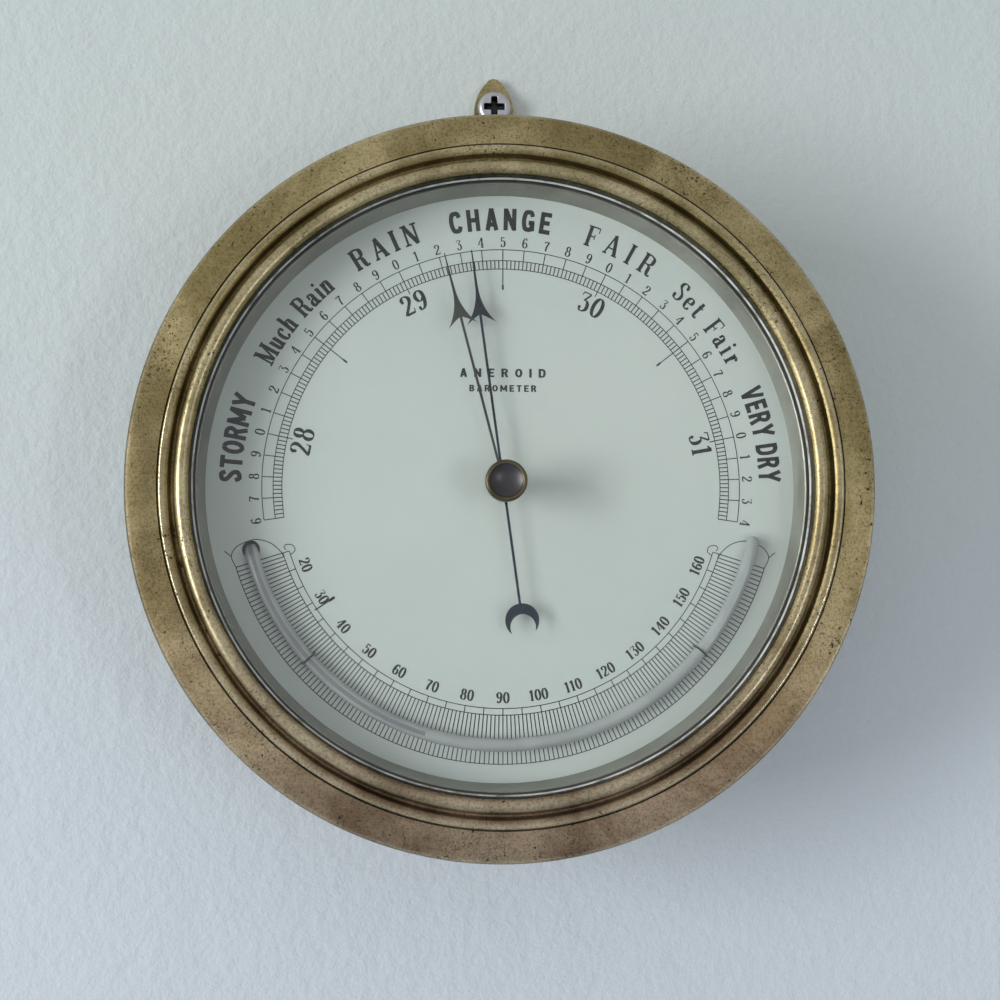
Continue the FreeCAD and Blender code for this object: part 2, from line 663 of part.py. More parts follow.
def adjusting_screw():
    shaft = rod(2.0, 1.4, 34.0, 0, ADJUST_Z)
    head = rod(3.1, 0.3, 2.2, 0, ADJUST_Z).cut(bar(-0.4, 0.4, ADJUST_Z - 5, ADJUST_Z + 5, 0, 1.1))
    return fused(shaft, head)


NODES = [hanging_lug, lug_rivets, back_plate, case_drum, bezel, bezel_screws, glass, glazing_fillet,
         rehaut, dial_plate, dial_pillars, dial_feet, dial_foot_screws, thermometer_tube, mercury_thread,
         thermometer_clips, glass_bush, bush_nut, set_knob, set_spindle, set_hand, pressure_hand,
         hand_collet, pointer_arbor, arbor_pulley, hairspring_collet, hairspring, hairspring_stud, chain,
         crank_arm, rocking_shaft, link_arm, link_rod, shaft_brackets, bracket_screws, main_lever,
         lever_screws, main_spring, spring_screws, knife_edge, capsule_stud, capsule_front, capsule_back,
         capsule_foot, bridge, bridge_screws, arbor_strap, strap_pillars, strap_screws, arbor_cock,
         cock_pillars, cock_screws, base_plate, plate_screws, adjusting_screw]

os.makedirs("parts", exist_ok=True)
for make in NODES:
    shape = make()
    solids = shape.Solids
    print(f"{make.__name__:20s} solids {len(solids)} valid {shape.isValid()} volume {shape.Volume:.2f}")
    (solids[0] if len(solids) == 1 else Part.makeCompound(solids)).exportStep(f"parts/{make.__name__}.step")
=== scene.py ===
# %% [markdown]
# # A brass bulkhead aneroid barometer
# This file builds the looks of a Victorian ship's barometer around its finished mechanical frame.
# The frame holds the true sizes and everything that moves.  Here each visible piece gets its final
# surface and its finish.  A learner can read it from top to bottom: every step says what the piece is
# on the real instrument, how it could be made, and why this way was chosen.

# %% Load the frame
import json

import bpy
import numpy as np
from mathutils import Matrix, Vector


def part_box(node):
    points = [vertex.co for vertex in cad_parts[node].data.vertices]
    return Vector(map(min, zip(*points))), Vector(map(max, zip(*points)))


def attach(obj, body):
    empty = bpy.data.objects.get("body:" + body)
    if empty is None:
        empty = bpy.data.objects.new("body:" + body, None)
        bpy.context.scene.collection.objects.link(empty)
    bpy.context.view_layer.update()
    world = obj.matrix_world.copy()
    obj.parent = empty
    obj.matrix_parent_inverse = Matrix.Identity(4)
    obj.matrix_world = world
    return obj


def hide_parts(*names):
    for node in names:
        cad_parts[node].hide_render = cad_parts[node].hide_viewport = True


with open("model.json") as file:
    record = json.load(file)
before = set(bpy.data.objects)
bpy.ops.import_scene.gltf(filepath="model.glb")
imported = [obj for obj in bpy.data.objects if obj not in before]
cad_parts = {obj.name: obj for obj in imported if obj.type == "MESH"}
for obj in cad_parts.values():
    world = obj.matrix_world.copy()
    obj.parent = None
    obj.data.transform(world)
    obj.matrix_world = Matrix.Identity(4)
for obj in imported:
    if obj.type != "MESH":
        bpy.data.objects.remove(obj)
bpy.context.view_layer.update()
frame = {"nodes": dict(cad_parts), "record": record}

# %% [markdown]
# Sizes come from the frame, so a piece always fits.  The dial looks along -Y, and a "depth" below is
# the distance forward from the wall, so y = -depth.  A "clock" angle runs clockwise from the top.

# %% Measures taken from the frame
MM = 0.001


def front_of(node):
    """The depth of a node's front face: minus its lowest y."""
    return -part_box(node)[0].y


def mm_of(node):
    """A turned node's radius, back depth and front depth, in mm."""
    low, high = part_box(node)
    return high.x / MM, -high.y / MM, -low.y / MM


DIAL = front_of("dial_plate")
flange, _, bezel_front = mm_of("bezel")
print(f"dial face {DIAL / MM:.1f} mm from the wall, flange radius {flange:.2f} mm")

DEG_PER_INCH = 51.9          # barometer scale
TOP_INCHES = 29.5
DEG_PER_F = 0.968            # thermometer scale
BOTTOM_F = 90.0
THERMO_R = 66.9 * MM         # centreline of the thermometer tube
TUBE_R = 1.75 * MM


def baro_clock(inches):
    return (inches - TOP_INCHES) * DEG_PER_INCH


def thermo_clock(fahrenheit):
    return 180 + (BOTTOM_F - fahrenheit) * DEG_PER_F


# %% [markdown]
# ## Surfaces from arrays
# Nearly every part of this instrument was turned on a lathe.  A turned part could be a Spin or a
# Screw modifier on a drawn outline.  Here it is worked out as one grid of points instead: the outline
# is one parameter and the angle round the axis the other, so the whole part is two lines of
# arithmetic, with no pole or seam to tidy afterwards.

# %% Grid to mesh
def new_mesh(name, points, faces, smooth_angle=40):
    """A mesh object from arrays of points and faces, smooth where faces meet under the angle."""
    mesh = bpy.data.meshes.new(name)
    mesh.from_pydata(np.asarray(points, float).tolist(), [], [list(map(int, f)) for f in faces])
    mesh.polygons.foreach_set("use_smooth", np.ones(len(mesh.polygons), bool))
    mesh.set_sharp_from_angle(angle=np.radians(smooth_angle))
    mesh.update()
    piece = bpy.data.objects.new(name, mesh)
    bpy.context.scene.collection.objects.link(piece)
    return piece


def grid_faces(rows, columns, close_rows, close_columns):
    """Quads of a grid: corner (i, j) joins (i+1, j), (i+1, j+1) and (i, j+1), wrapping where closed."""
    i = np.arange(rows if close_rows else rows - 1)[:, None]
    j = np.arange(columns if close_columns else columns - 1)[None, :]
    i2, j2 = (i + 1) % rows, (j + 1) % columns
    corners = [i * columns + j, i2 * columns + j, i2 * columns + j2, i * columns + j2]
    return np.stack([np.broadcast_to(c, (i.size, j.size)) for c in corners], -1).reshape(-1, 4)


def surface(name, grid, close_rows=False, close_columns=False, smooth_angle=40):
    rows, columns = grid.shape[:2]
    return new_mesh(name, grid.reshape(-1, 3), grid_faces(rows, columns, close_rows, close_columns),
                    smooth_angle)


# %% Outlines and the lathe
def signed_area(points):
    """Twice the area of a closed outline by the shoelace rule, above zero when it runs anticlockwise."""
    return np.sum(points[:, 0] * np.roll(points[:, 1], -1) - np.roll(points[:, 0], -1) * points[:, 1])


def outline(start, *moves, step=0.25):
    """Points along an outline in mm: a move of 2 numbers is a line, one of 4 an arc through a point.

    The arc's centre is where the two chords' perpendicular bisectors cross.
    """
    points, here = [np.array([start], float)], np.array(start, float)
    for move in moves:
        there = np.array(move[-2:], float)
        if len(move) == 2:
            points.append(there[None])
        else:
            mid = np.array(move[:2], float)
            m = 2 * np.array([mid - here, there - here])
            centre = np.linalg.solve(m, [mid @ mid - here @ here, there @ there - here @ here])
            a0, a1, a2 = (np.arctan2(*(p - centre)[::-1]) for p in (here, mid, there))
            turn = (a2 - a0) % (2 * np.pi)
            if (a1 - a0) % (2 * np.pi) > turn:
                turn -= 2 * np.pi
            radius = np.hypot(*(here - centre))
            count = max(4, int(abs(turn) * radius / step) + 1)
            a = a0 + turn * np.arange(1, count + 1) / count
            points.append(centre + radius * np.stack([np.cos(a), np.sin(a)], 1))
        here = there
    return np.concatenate(points) * MM


def lathe(name, points, steps=360, smooth_angle=30, wobble=None):
    """A closed outline of (radius, depth) turned about the dial's axis.

    Point = (r sin a, -depth, r cos a).  wobble adds a small depth that changes with r and a.
    """
    a = np.linspace(0, 2 * np.pi, steps, endpoint=False)[:, None]
    r, depth = points[:, 0][None], np.broadcast_to(points[:, 1][None], (steps, len(points)))
    if wobble is not None:
        depth = depth + wobble(r, a)
    grid = np.stack([r * np.sin(a), -depth, r * np.cos(a)], -1)
    if signed_area(points) > 0:
        grid = grid[::-1]
    return surface(name, grid, True, True, smooth_angle)


def relief(piece, points, steps, foot=0.0):
    """Stores how proud each point of an outline stands of its surroundings, from 0 in a groove to 1.

    Proud = depth minus the mean depth of the outline's points within reach, over a span.  Nearer the
    axis than foot it falls to 0, so the crease where a moulding meets the glass gets the painted shade of a
    groove.
    """
    reach, depth_span, fade = 1.3 * MM, 0.5 * MM, 0.5 * MM
    gap = np.hypot(*(points[:, None] - points[None]).transpose(2, 0, 1))
    near = np.exp(-(gap / reach) ** 2)
    proud = (points[:, 1] - near @ points[:, 1] / near.sum(1)) / depth_span
    value = np.clip(0.5 + 0.5 * proud, 0, 1) * np.clip((points[:, 0] - foot) / fade, 0, 1)
    attribute = piece.data.attributes.new("relief", "FLOAT", "POINT")
    attribute.data.foreach_set("value", np.tile(value, steps).astype(np.float32))


def polar(radius, clock, depth):
    """Points at radii, clock angles in degrees and depths: (r sin a, -depth, r cos a)."""
    a = np.radians(clock)
    x, y, z = np.broadcast_arrays(radius * np.sin(a), -np.asarray(depth, float), radius * np.cos(a))
    return np.stack([x, y, z], -1)


def finish_piece(piece, body, slot, material, *replaced):
    piece.data.materials.clear()
    piece.data.materials.append(material)
    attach(piece, body)
    if replaced:
        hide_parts(*replaced)
    print(f"{piece.name}: {len(piece.data.vertices)} points")


def moulding(name, points, steps, slot, material, node, wobble=None, foot=0.0):
    """A turned piece of the case with its relief stored, in place of a node."""
    ring = lathe(name, points, steps, wobble=wobble)
    relief(ring, points, steps, foot)
    finish_piece(ring, "case", slot, material, node)


def moved_points(piece, change):
    """Puts each point of a piece where change, a function of all the points, says."""
    co = np.empty(len(piece.data.vertices) * 3, np.float32)
    piece.data.vertices.foreach_get("co", co)
    co = co.reshape(-1, 3)
    change(co)
    piece.data.vertices.foreach_set("co", co.ravel())
    piece.data.update()


# %% [markdown]
# ## Shared effects
# Old brass, steel and paper share a few effects: soft blotches, small dark specks and fine scratches.
# They could be painted, but a painted picture fits one mesh only.  A node group that reads the
# object's own coordinates fits every piece, and each finish sets its own strength.

# %% Node helpers
class Nodes:
    """Adds nodes to a tree and joins them: a value given as a socket is linked, a number is set."""

    def __init__(self, tree):
        self.tree = tree

    def feed(self, socket, value):
        if isinstance(value, bpy.types.NodeSocket):
            self.tree.links.new(value, socket)
        else:
            socket.default_value = (*value, 1) if socket.type == "RGBA" and len(value) == 3 else value

    def add(self, kind, settings=None, **inputs):
        """A node with its settings; an input is given by name, or by number as i0, i1 and so on."""
        node = self.tree.nodes.new("ShaderNode" + kind)
        for key, value in (settings or {}).items():
            setattr(node, key, value)
        for key, value in inputs.items():
            self.feed(node.inputs[int(key[1:]) if key[1:].isdigit() else key.replace("_", " ")], value)
        return node

    def place(self):
        return self.add("TexCoord").outputs["Object"]

    def math(self, operation, a, b=0.0, c=0.0):
        return self.add("Math", {"operation": operation}, i0=a, i1=b, i2=c).outputs[0]

    def scaled(self, value, scale, plus=0.0):
        """scale * value + plus"""
        return self.math("MULTIPLY_ADD", value, scale, plus)

    def ramp(self, value, low, high, out_low=0.0, out_high=1.0):
        """A smooth step from out_low to out_high as value goes from low to high."""
        return self.add("MapRange", {"interpolation_type": "SMOOTHSTEP"}, Value=value, From_Min=low,
                        From_Max=high, To_Min=out_low, To_Max=out_high).outputs[0]

    def mix(self, factor, a, b, blend="MIX"):
        """Mixes two colours."""
        node = self.add("Mix", {"data_type": "RGBA", "blend_type": blend}, i0=factor, i6=a, i7=b)
        return node.outputs[2]

    def stain(self, colour, mask, strength, other):
        """Mixes another colour in by strength * mask."""
        return self.mix(self.math("MULTIPLY", mask, strength), colour, other)

    def noise(self, place, scale, detail=4.0, roughness=0.55, distortion=0.0):
        return self.add("TexNoise", Vector=place, Scale=scale, Detail=detail, Roughness=roughness,
                        Distortion=distortion).outputs[0]


def group(name, inputs, outputs):
    """An empty node group with named float inputs, given with their defaults, and named outputs."""
    tree = bpy.data.node_groups.new(name, "ShaderNodeTree")
    for label, value in inputs.items():
        tree.interface.new_socket(label, in_out="INPUT", socket_type="NodeSocketFloat").default_value = value
    for label in outputs:
        tree.interface.new_socket(label, in_out="OUTPUT", socket_type="NodeSocketFloat")
    nodes = Nodes(tree)
    given, result = tree.nodes.new("NodeGroupInput"), tree.nodes.new("NodeGroupOutput")
    return nodes, nodes.add, given.outputs, result.inputs


# %% Group: wear of old metal
def wear_group():
    """Blotches, dark pits and fine scratches on the object's own coordinates.

    Blotch is a slow noise; a pit is where a fast noise passes a threshold that a slow one shifts, so
    pits gather in patches; a scratch is a thin band of a noise stretched along one direction.
    """
    n, add, given, out = group("old metal wear", {"Pits": 0.5, "Scratches": 0.5},
                               ("Blotch", "Pit", "Scratch", "Height"))
    place = n.place()
    blotch = n.noise(place, 38.0, 6.0, 0.62, 0.4)
    patch = n.noise(place, 55.0, 3.0)
    fine = n.noise(place, 2300.0, 3.0, 0.7)
    coarse = n.noise(place, 900.0, 4.0, 0.62)
    level = n.scaled(patch, -0.32, 0.855)
    level = n.scaled(given["Pits"], -0.08, level)
    small = n.ramp(fine, level, n.math("ADD", level, 0.06))
    large = n.ramp(coarse, n.math("ADD", level, 0.01), n.math("ADD", level, 0.07))
    pit = n.math("MAXIMUM", small, large)
    pit = n.math("MULTIPLY", pit, n.math("MINIMUM", n.math("MULTIPLY", given["Pits"], 2.0), 1.0))
    scratch = None
    for turn, squeeze in ((0.5, 26.0), (-0.9, 34.0), (1.45, 30.0)):
        mapped = add("Mapping", Vector=place, Rotation=(0.0, turn, 0.0), Scale=(30.0, 30.0, 30.0 * squeeze))
        line = n.noise(mapped.outputs[0], 1.0, 2.0, 0.5)
        line = n.ramp(n.math("ABSOLUTE", n.math("SUBTRACT", line, 0.64)), 0.012, 0.0)
        scratch = line if scratch is None else n.math("MAXIMUM", scratch, line)
    scratch = n.math("MULTIPLY", scratch, given["Scratches"])
    height = n.math("SUBTRACT", n.math("MULTIPLY", fine, 0.25), pit)
    height = n.scaled(scratch, -0.35, height)
    for label, value in (("Blotch", blotch), ("Pit", pit), ("Scratch", scratch), ("Height", height)):
        n.tree.links.new(value, out[label])
    return n.tree


WEAR = wear_group()


def new_material(name):
    """A material with its Principled shader, and the node builder for it."""
    material = bpy.data.materials.new(name)
    material.use_nodes = True
    shader = material.node_tree.nodes["Principled BSDF"]
    return material, Nodes(material.node_tree), shader


def set_shader(nodes, shader, **values):
    for key, value in values.items():
        nodes.feed(shader.inputs[key.replace("_", " ")], value)


def wear_outputs(nodes, pits, scratches):
    node = nodes.add("Group", {"node_tree": WEAR})
    node.inputs["Pits"].default_value = pits
    node.inputs["Scratches"].default_value = scratches
    return node.outputs


def bump(nodes, height, strength, distance):
    return nodes.add("Bump", Height=height, Strength=strength, Distance=distance).outputs[0]


# %% [markdown]
# ## Brass that has hung in a room for a century
# Lacquered brass goes olive where its lacquer holds and pinkish brown where it has gone.  Grooves
# are darkened to a greenish black as painted shade.  Ridges are lightened, partly as rubbed brass and
# partly as a painted highlight.  The colour therefore follows height on the instrument, a slow blotch,
# the relief stored on each turned piece, and a painted shade on the far left of the case.

# %% Case brass
def case_brass(name, has_relief, dull=0.0):
    material, n, shader = new_material(name)
    worn = wear_outputs(n, 1.0, 0.3)
    place = n.place()
    split = n.add("SeparateXYZ", Vector=place).outputs
    low_down = n.ramp(n.scaled(worn["Blotch"], 0.05, split[2]), 0.03, -0.075)
    olive = n.mix(n.ramp(worn["Blotch"], 0.35, 0.65), (0.245, 0.192, 0.080), (0.450, 0.368, 0.188))
    pink = n.mix(n.ramp(worn["Blotch"], 0.38, 0.62), (0.185, 0.118, 0.084), (0.345, 0.250, 0.192))
    colour = n.mix(n.math("MULTIPLY", low_down, 0.8), olive, pink)
    # painted shade: the far left of the case, on the window's side, is darkened to damp the window's
    # reflection there
    left_side_shade = n.ramp(split[0], -0.092, -0.083, 0.62, 0.0)
    colour = n.mix(left_side_shade, colour, (0.120, 0.092, 0.044))
    rough = n.ramp(worn["Blotch"], 0.3, 0.7, 0.36 + dull, 0.50 + dull)
    if has_relief:
        proud = n.add("Attribute", {"attribute_name": "relief"}).outputs["Fac"]
        # painted shade: where the relief is low (grooves, recesses and the crease at the glass) the brass is
        # darkened to a greenish black
        groove_shade = n.ramp(n.scaled(worn["Blotch"], 0.25, proud), 0.36, 0.06)
        # partly rubbed brass and partly painted highlight: where the relief is high (ridges and the bead) the
        # brass is lightened and made smoother
        bright = n.ramp(n.scaled(worn["Blotch"], 0.30, proud), 0.74, 1.02)
        colour = n.stain(colour, groove_shade, 0.92, (0.014, 0.018, 0.014))
        colour = n.stain(colour, bright, 0.78, (0.64, 0.56, 0.38))
        rough = n.scaled(groove_shade, 0.2, rough)
        rough = n.scaled(bright, -0.30, rough)
    grain = n.ramp(n.noise(place, 1500.0, 5.0, 0.75), 0.36, 0.56, 0.62, 1.06)
    grey = n.add("CombineColor", i0=grain, i1=grain, i2=grain).outputs[0]
    colour = n.mix(1.0, colour, grey, "MULTIPLY")
    colour = n.stain(colour, worn["Pit"], 0.85, (0.030, 0.022, 0.012))
    colour = n.stain(colour, worn["Scratch"], 0.45, (0.60, 0.46, 0.27))
    rough = n.scaled(worn["Pit"], 0.3, rough)
    set_shader(n, shader, Base_Color=colour, Metallic=0.9, Roughness=rough,
               Normal=bump(n, worn["Height"], 0.30, 0.00010))
    return material


CASE_BRASS = case_brass("aged case brass", True)
PLAIN_CASE_BRASS = case_brass("aged sheet brass", False, 0.04)


# %% [markdown]
# ## Plainer finishes
# The pieces inside the case are cleaner: turned yellow brass, bright and blued steel, plated sheet.
# They use the same wear with less of it.

# %% Inside metals, glass, dial and ink
def metal(name, dark, light, rough, pits=0.1, scratches=0.3, metallic=1.0):
    material, n, shader = new_material(name)
    worn = wear_outputs(n, pits, scratches)
    colour = n.mix(n.ramp(worn["Blotch"], 0.3, 0.7), dark, light)
    colour = n.stain(colour, worn["Pit"], 0.7, tuple(0.2 * c for c in dark))
    colour = n.stain(colour, worn["Scratch"], 0.3, light)
    set_shader(n, shader, Base_Color=colour, Metallic=metallic,
               Roughness=n.ramp(worn["Blotch"], 0.3, 0.7, rough, rough + 0.12),
               Normal=bump(n, worn["Height"], 0.15, 0.00005))
    return material


PLAIN_BRASS = metal("turned brass", (0.50, 0.34, 0.13), (0.72, 0.54, 0.25), 0.22)
BRIGHT_STEEL = metal("bright steel", (0.30, 0.30, 0.31), (0.55, 0.55, 0.56), 0.22)
SPRING_STEEL = metal("tempered spring steel", (0.14, 0.15, 0.18), (0.30, 0.32, 0.36), 0.28)
PLATED = metal("plated sheet", (0.48, 0.47, 0.42), (0.66, 0.65, 0.60), 0.25)
BLUED = metal("blued steel", (0.003, 0.008, 0.016), (0.007, 0.016, 0.032), 0.20, 0.2, 0.15, 0.75)
BRONZED = metal("bronzed hand", (0.018, 0.022, 0.014), (0.042, 0.048, 0.032), 0.28, 0.2, 0.2, 0.7)
KNOB_BRASS = metal("dull knob brass", (0.062, 0.052, 0.030), (0.170, 0.143, 0.086), 0.30, 0.6, 0.4, 0.9)
KNOB_DISH = metal("dark knob face", (0.050, 0.047, 0.050), (0.090, 0.084, 0.086), 0.30, 0.4, 0.4, 0.85)
SILVERED = metal("silvered ring", (0.20, 0.20, 0.165), (0.30, 0.30, 0.255), 0.36, 0.35, 0.3, 0.7)
MERCURY = metal("mercury", (0.20, 0.20, 0.21), (0.30, 0.30, 0.31), 0.15, 0.0, 0.0)
# painted shade: a near-black finish for the bottoms of the screw's driver slots
SLOT_SHADE = metal("dirty screw slot", (0.020, 0.022, 0.024), (0.060, 0.064, 0.068), 0.5, 0.5, 0.0)
ZINC = metal("zinc plated screw", (0.40, 0.41, 0.43), (0.62, 0.63, 0.65), 0.30, 0.2, 0.4)


def window_glass():
    """Clear glass that lets lamps through, so that what is behind it is lit."""
    tint, veil = (0.985, 0.992, 0.988), 0.01
    material, n, shader = new_material("window glass")
    smear = n.ramp(n.noise(n.place(), 30.0, 5.0, 0.6), 0.5, 0.8, 0.0, veil)
    set_shader(n, shader, Base_Color=tint, Metallic=0.0, Transmission_Weight=1.0, IOR=1.45, Roughness=smear)
    clear = n.add("BsdfTransparent", Color=(*tint, 1))
    lamp = n.add("LightPath").outputs["Is Shadow Ray"]
    both = n.add("MixShader", i0=lamp, i1=shader.outputs[0], i2=clear.outputs[0])
    n.tree.links.new(both.outputs[0], n.tree.nodes["Material Output"].inputs["Surface"])
    return material


PANE = window_glass()


def milky_glass():
    """Thick drawn glass with a pale back: mostly a soft grey body under a clear, shiny skin.

    The round glass spreads the thin thread sideways, so the body is darker along its middle up to 72 F.
    """
    material, n, shader = new_material("thermometer glass")
    place = n.place()
    cloud = n.ramp(n.noise(place, 45.0, 4.0, 0.6), 0.35, 0.65)
    colour = n.mix(cloud, (0.315, 0.345, 0.340), (0.395, 0.430, 0.418))
    split = n.add("SeparateXYZ", Vector=place).outputs
    square = n.scaled(split[0], split[0], n.math("MULTIPLY", split[2], split[2]))
    radius = n.math("SQRT", square)
    off = n.math("ABSOLUTE", n.math("SUBTRACT", radius, THERMO_R))
    clock = n.math("ARCTAN2", split[0], split[2])
    filled = n.math("MULTIPLY", n.math("GREATER_THAN", clock, np.radians(thermo_clock(72) - 360)),
                    n.math("LESS_THAN", clock, -0.5))
    thread = n.math("MULTIPLY", filled, n.ramp(off, 0.75 * MM, 0.35 * MM))
    colour = n.stain(colour, thread, 0.75, (0.13, 0.135, 0.14))
    set_shader(n, shader, Base_Color=colour, Metallic=0.0, Roughness=0.04, IOR=1.4, Transmission_Weight=0.35,
               Coat_Weight=1.0, Coat_Roughness=0.02)
    return material


TUBE_GLASS = milky_glass()


def uneven_finish(name, scale, detail, low, high, dark, light):
    """A finish whose colour goes from dark to light with a noise, for a matt material."""
    material, n, shader = new_material(name)
    noise = n.noise(n.place(), scale, detail, 0.6)
    colour = n.mix(n.ramp(noise, low, high), dark, light)
    set_shader(n, shader, Base_Color=colour, Roughness=0.6)
    return material, n, shader, noise


def dial_paper():
    """Off-white enamelled card with faint yellowing and a few brown specks."""
    material, n, shader = new_material("dial card")
    place = n.place()
    slow = n.noise(place, 16.0, 3.0, 0.5)
    colour = n.mix(n.ramp(slow, 0.35, 0.65), (0.392, 0.438, 0.408), (0.415, 0.457, 0.424))
    specks = n.ramp(n.noise(place, 420.0, 2.0, 0.5), 0.80, 0.84)
    colour = n.stain(colour, specks, 0.5, (0.30, 0.22, 0.12))
    fine = n.noise(place, 900.0, 3.0, 0.6)
    set_shader(n, shader, Base_Color=colour, Roughness=n.ramp(fine, 0.3, 0.7, 0.42, 0.55),
               Specular_IOR_Level=0.35, Normal=bump(n, fine, 0.08, 0.00003))
    return material


DIAL_CARD = dial_paper()
INK, n, shader, _ = uneven_finish("printing ink", 1400.0, 3.0, 0.35, 0.75, (0.003, 0.004, 0.005),
                                      (0.018, 0.022, 0.023))
set_shader(n, shader, Specular_IOR_Level=0.2)
PUTTY, n, shader, noise = uneven_finish("whiting putty", 260.0, 4.0, 0.4, 0.75, (0.55, 0.57, 0.54),
                                        (0.16, 0.14, 0.10))
set_shader(n, shader, Normal=bump(n, noise, 0.5, 0.0001))

# %% [markdown]
# ## The bezel
# The bezel is one brass casting turned to a moulding: a broad flange, a fine step, a deep groove and
# a bead that frames the glass.  A bevel on a plain ring can't give those mouldings, so the outline is
# drawn with lines and arcs and turned.  Tiny waves in the depth stand for hand turning.

# %% Bezel ring
def hand_turned(radius, angle):
    return 0.012 * MM * (np.sin(3 * angle + 1.0) + 0.6 * np.sin(7 * angle + 400 * radius))


rim_depth = bezel_front - 7.2                 # back of the flange
bezel_outline = outline(
    (82.05, 40.0), (84.2, 40.0), (84.2, 46.6), (84.8, 47.8, 86.2, rim_depth - 0.1),
    (flange - 1.3, rim_depth), (flange, rim_depth + 2.1, flange - 0.7, rim_depth + 4.0),
    (91.6, rim_depth + 4.65, 87.6, rim_depth + 5.0), (87.48, rim_depth + 4.5), (87.12, rim_depth + 4.5),
    (87.05, rim_depth + 5.75), (86.8, rim_depth + 6.12, 86.3, rim_depth + 6.2),
    (85.6, rim_depth + 6.1, 84.75, rim_depth + 5.55), (84.5, 52.3), (83.85, 51.5, 83.25, 52.3),
    (83.1, 53.1), (81.2, bezel_front, 79.3, 53.1), (79.2, 52.6), (79.2, 51.0), (80.7, 51.0), (80.7, 48.3),
    (82.05, 48.3))
moulding("bezel_ring", bezel_outline, 480, "case_brass", CASE_BRASS, "bezel", hand_turned, 79.4 * MM)

# %% [markdown]
# ## Drum and back
# The drum is a spun tube with a small bead where it meets the back, and the back is a disc let into
# it.  The disc keeps its frame node, which has the recess for the lug, so only its finish changes.

# %% Drum
drum_r, drum_back, drum_front = mm_of("case_drum")
drum_outline = outline(
    (drum_r - 1.5, drum_back), (drum_r - 0.25, drum_back), (drum_r, drum_back + 0.1, drum_r, drum_back + 0.4),
    (drum_r, drum_front - 0.3), (drum_r - 0.1, drum_front, drum_r - 0.4, drum_front),
    (drum_r - 1.5, drum_front))
moulding("drum_shell", drum_outline, 360, "case_brass", CASE_BRASS, "case_drum")

# %% [markdown]
# ## Glass, putty and silvered ring
# The pane is flat and lies behind the bead.  A thin line of whiting seals it.  Behind the glass a
# silvered ring slopes inward to the dial and hides its edge.

# %% Glass and rings
pane_r, g0, g1 = mm_of("glass")
pane_outline = outline((2.5, g0), (pane_r - 0.1, g0), (pane_r, g0 + 0.1), (pane_r, g1 - 0.1),
                       (pane_r - 0.1, g1), (2.5, g1))
finish_piece(lathe("glass_pane", pane_outline, 256), "case", "glass", PANE, "glass")


def uneven_putty(radius, angle):
    lump = np.sin(11 * angle) + np.sin(29 * angle + 2.0) + np.sin(53 * angle + 1.0)
    return 0.04 * MM * lump * np.clip((radius / MM - 78.8) / 0.3, 0, 1)


putty_outline = outline((78.8, g1), (79.17, g1), (79.17, g1 + 0.5), (79.02, g1 + 0.22, 78.8, g1))
putty = lathe("putty_line", putty_outline, 360, wobble=uneven_putty)
finish_piece(putty, "case", "putty", PUTTY, "glazing_fillet")

dial_mm = DIAL / MM
rehaut_outline = outline((76.7, dial_mm + 0.02), (76.85, dial_mm + 0.3), (78.1, g0 - 0.3), (78.4, g0),
                         (80.2, g0), (80.2, g0 - 0.8), (79.0, g0 - 0.8), (77.7, dial_mm + 0.02))
moulding("silvered_rehaut", rehaut_outline, 360, "silvered_ring", SILVERED, "rehaut")

# %% [markdown]
# ## Printing on the dial
# The scales are printed in ink.  A picture of them would blur in a close view, so the ink is thin
# real geometry that lies just over the card: every tick is one quad, and an arc is a strip of them.

# %% Ink helpers
INK_DEPTH = DIAL + 0.03 * MM
ink_parts = {}


def add_ink(layer, points, faces):
    """Keeps flat ink on a layer: points are (x, z) in metres on the dial."""
    layer_points, layer_faces, count = ink_parts.setdefault(layer, [[], [], 0])
    layer_points.append(points)
    layer_faces += [tuple(int(i) + count for i in face) for face in faces]
    ink_parts[layer][2] = count + len(points)


def ticks(layer, clocks, inner, outer, width):
    """One quad per clock angle, from the inner to the outer radius; radii and width in mm."""
    a = np.radians(np.atleast_1d(clocks))[:, None, None]
    radial = np.concatenate([np.sin(a), np.cos(a)], -1)
    across = np.concatenate([np.cos(a), -np.sin(a)], -1)
    r = np.array([inner, outer, outer, inner])[None, :, None] * MM
    side = np.array([-0.5, -0.5, 0.5, 0.5])[None, :, None] * width * MM
    points = (radial * r + across * side).reshape(-1, 2)
    add_ink(layer, points, np.arange(len(points)).reshape(-1, 4))


def arc_line(layer, radius, clock0, clock1, width):
    """A thin band of an annulus, in quads one degree long."""
    a = np.radians(np.linspace(clock0, clock1, int(abs(clock1 - clock0)) + 2))[:, None]
    r = (radius + width * np.array([[-0.5, 0.5]])) * MM
    points = np.stack([r * np.sin(a), r * np.cos(a)], -1).reshape(-1, 2)
    i = 2 * np.arange(len(a) - 1)[:, None]
    add_ink(layer, points, i + np.array([[0, 1, 3, 2]]))


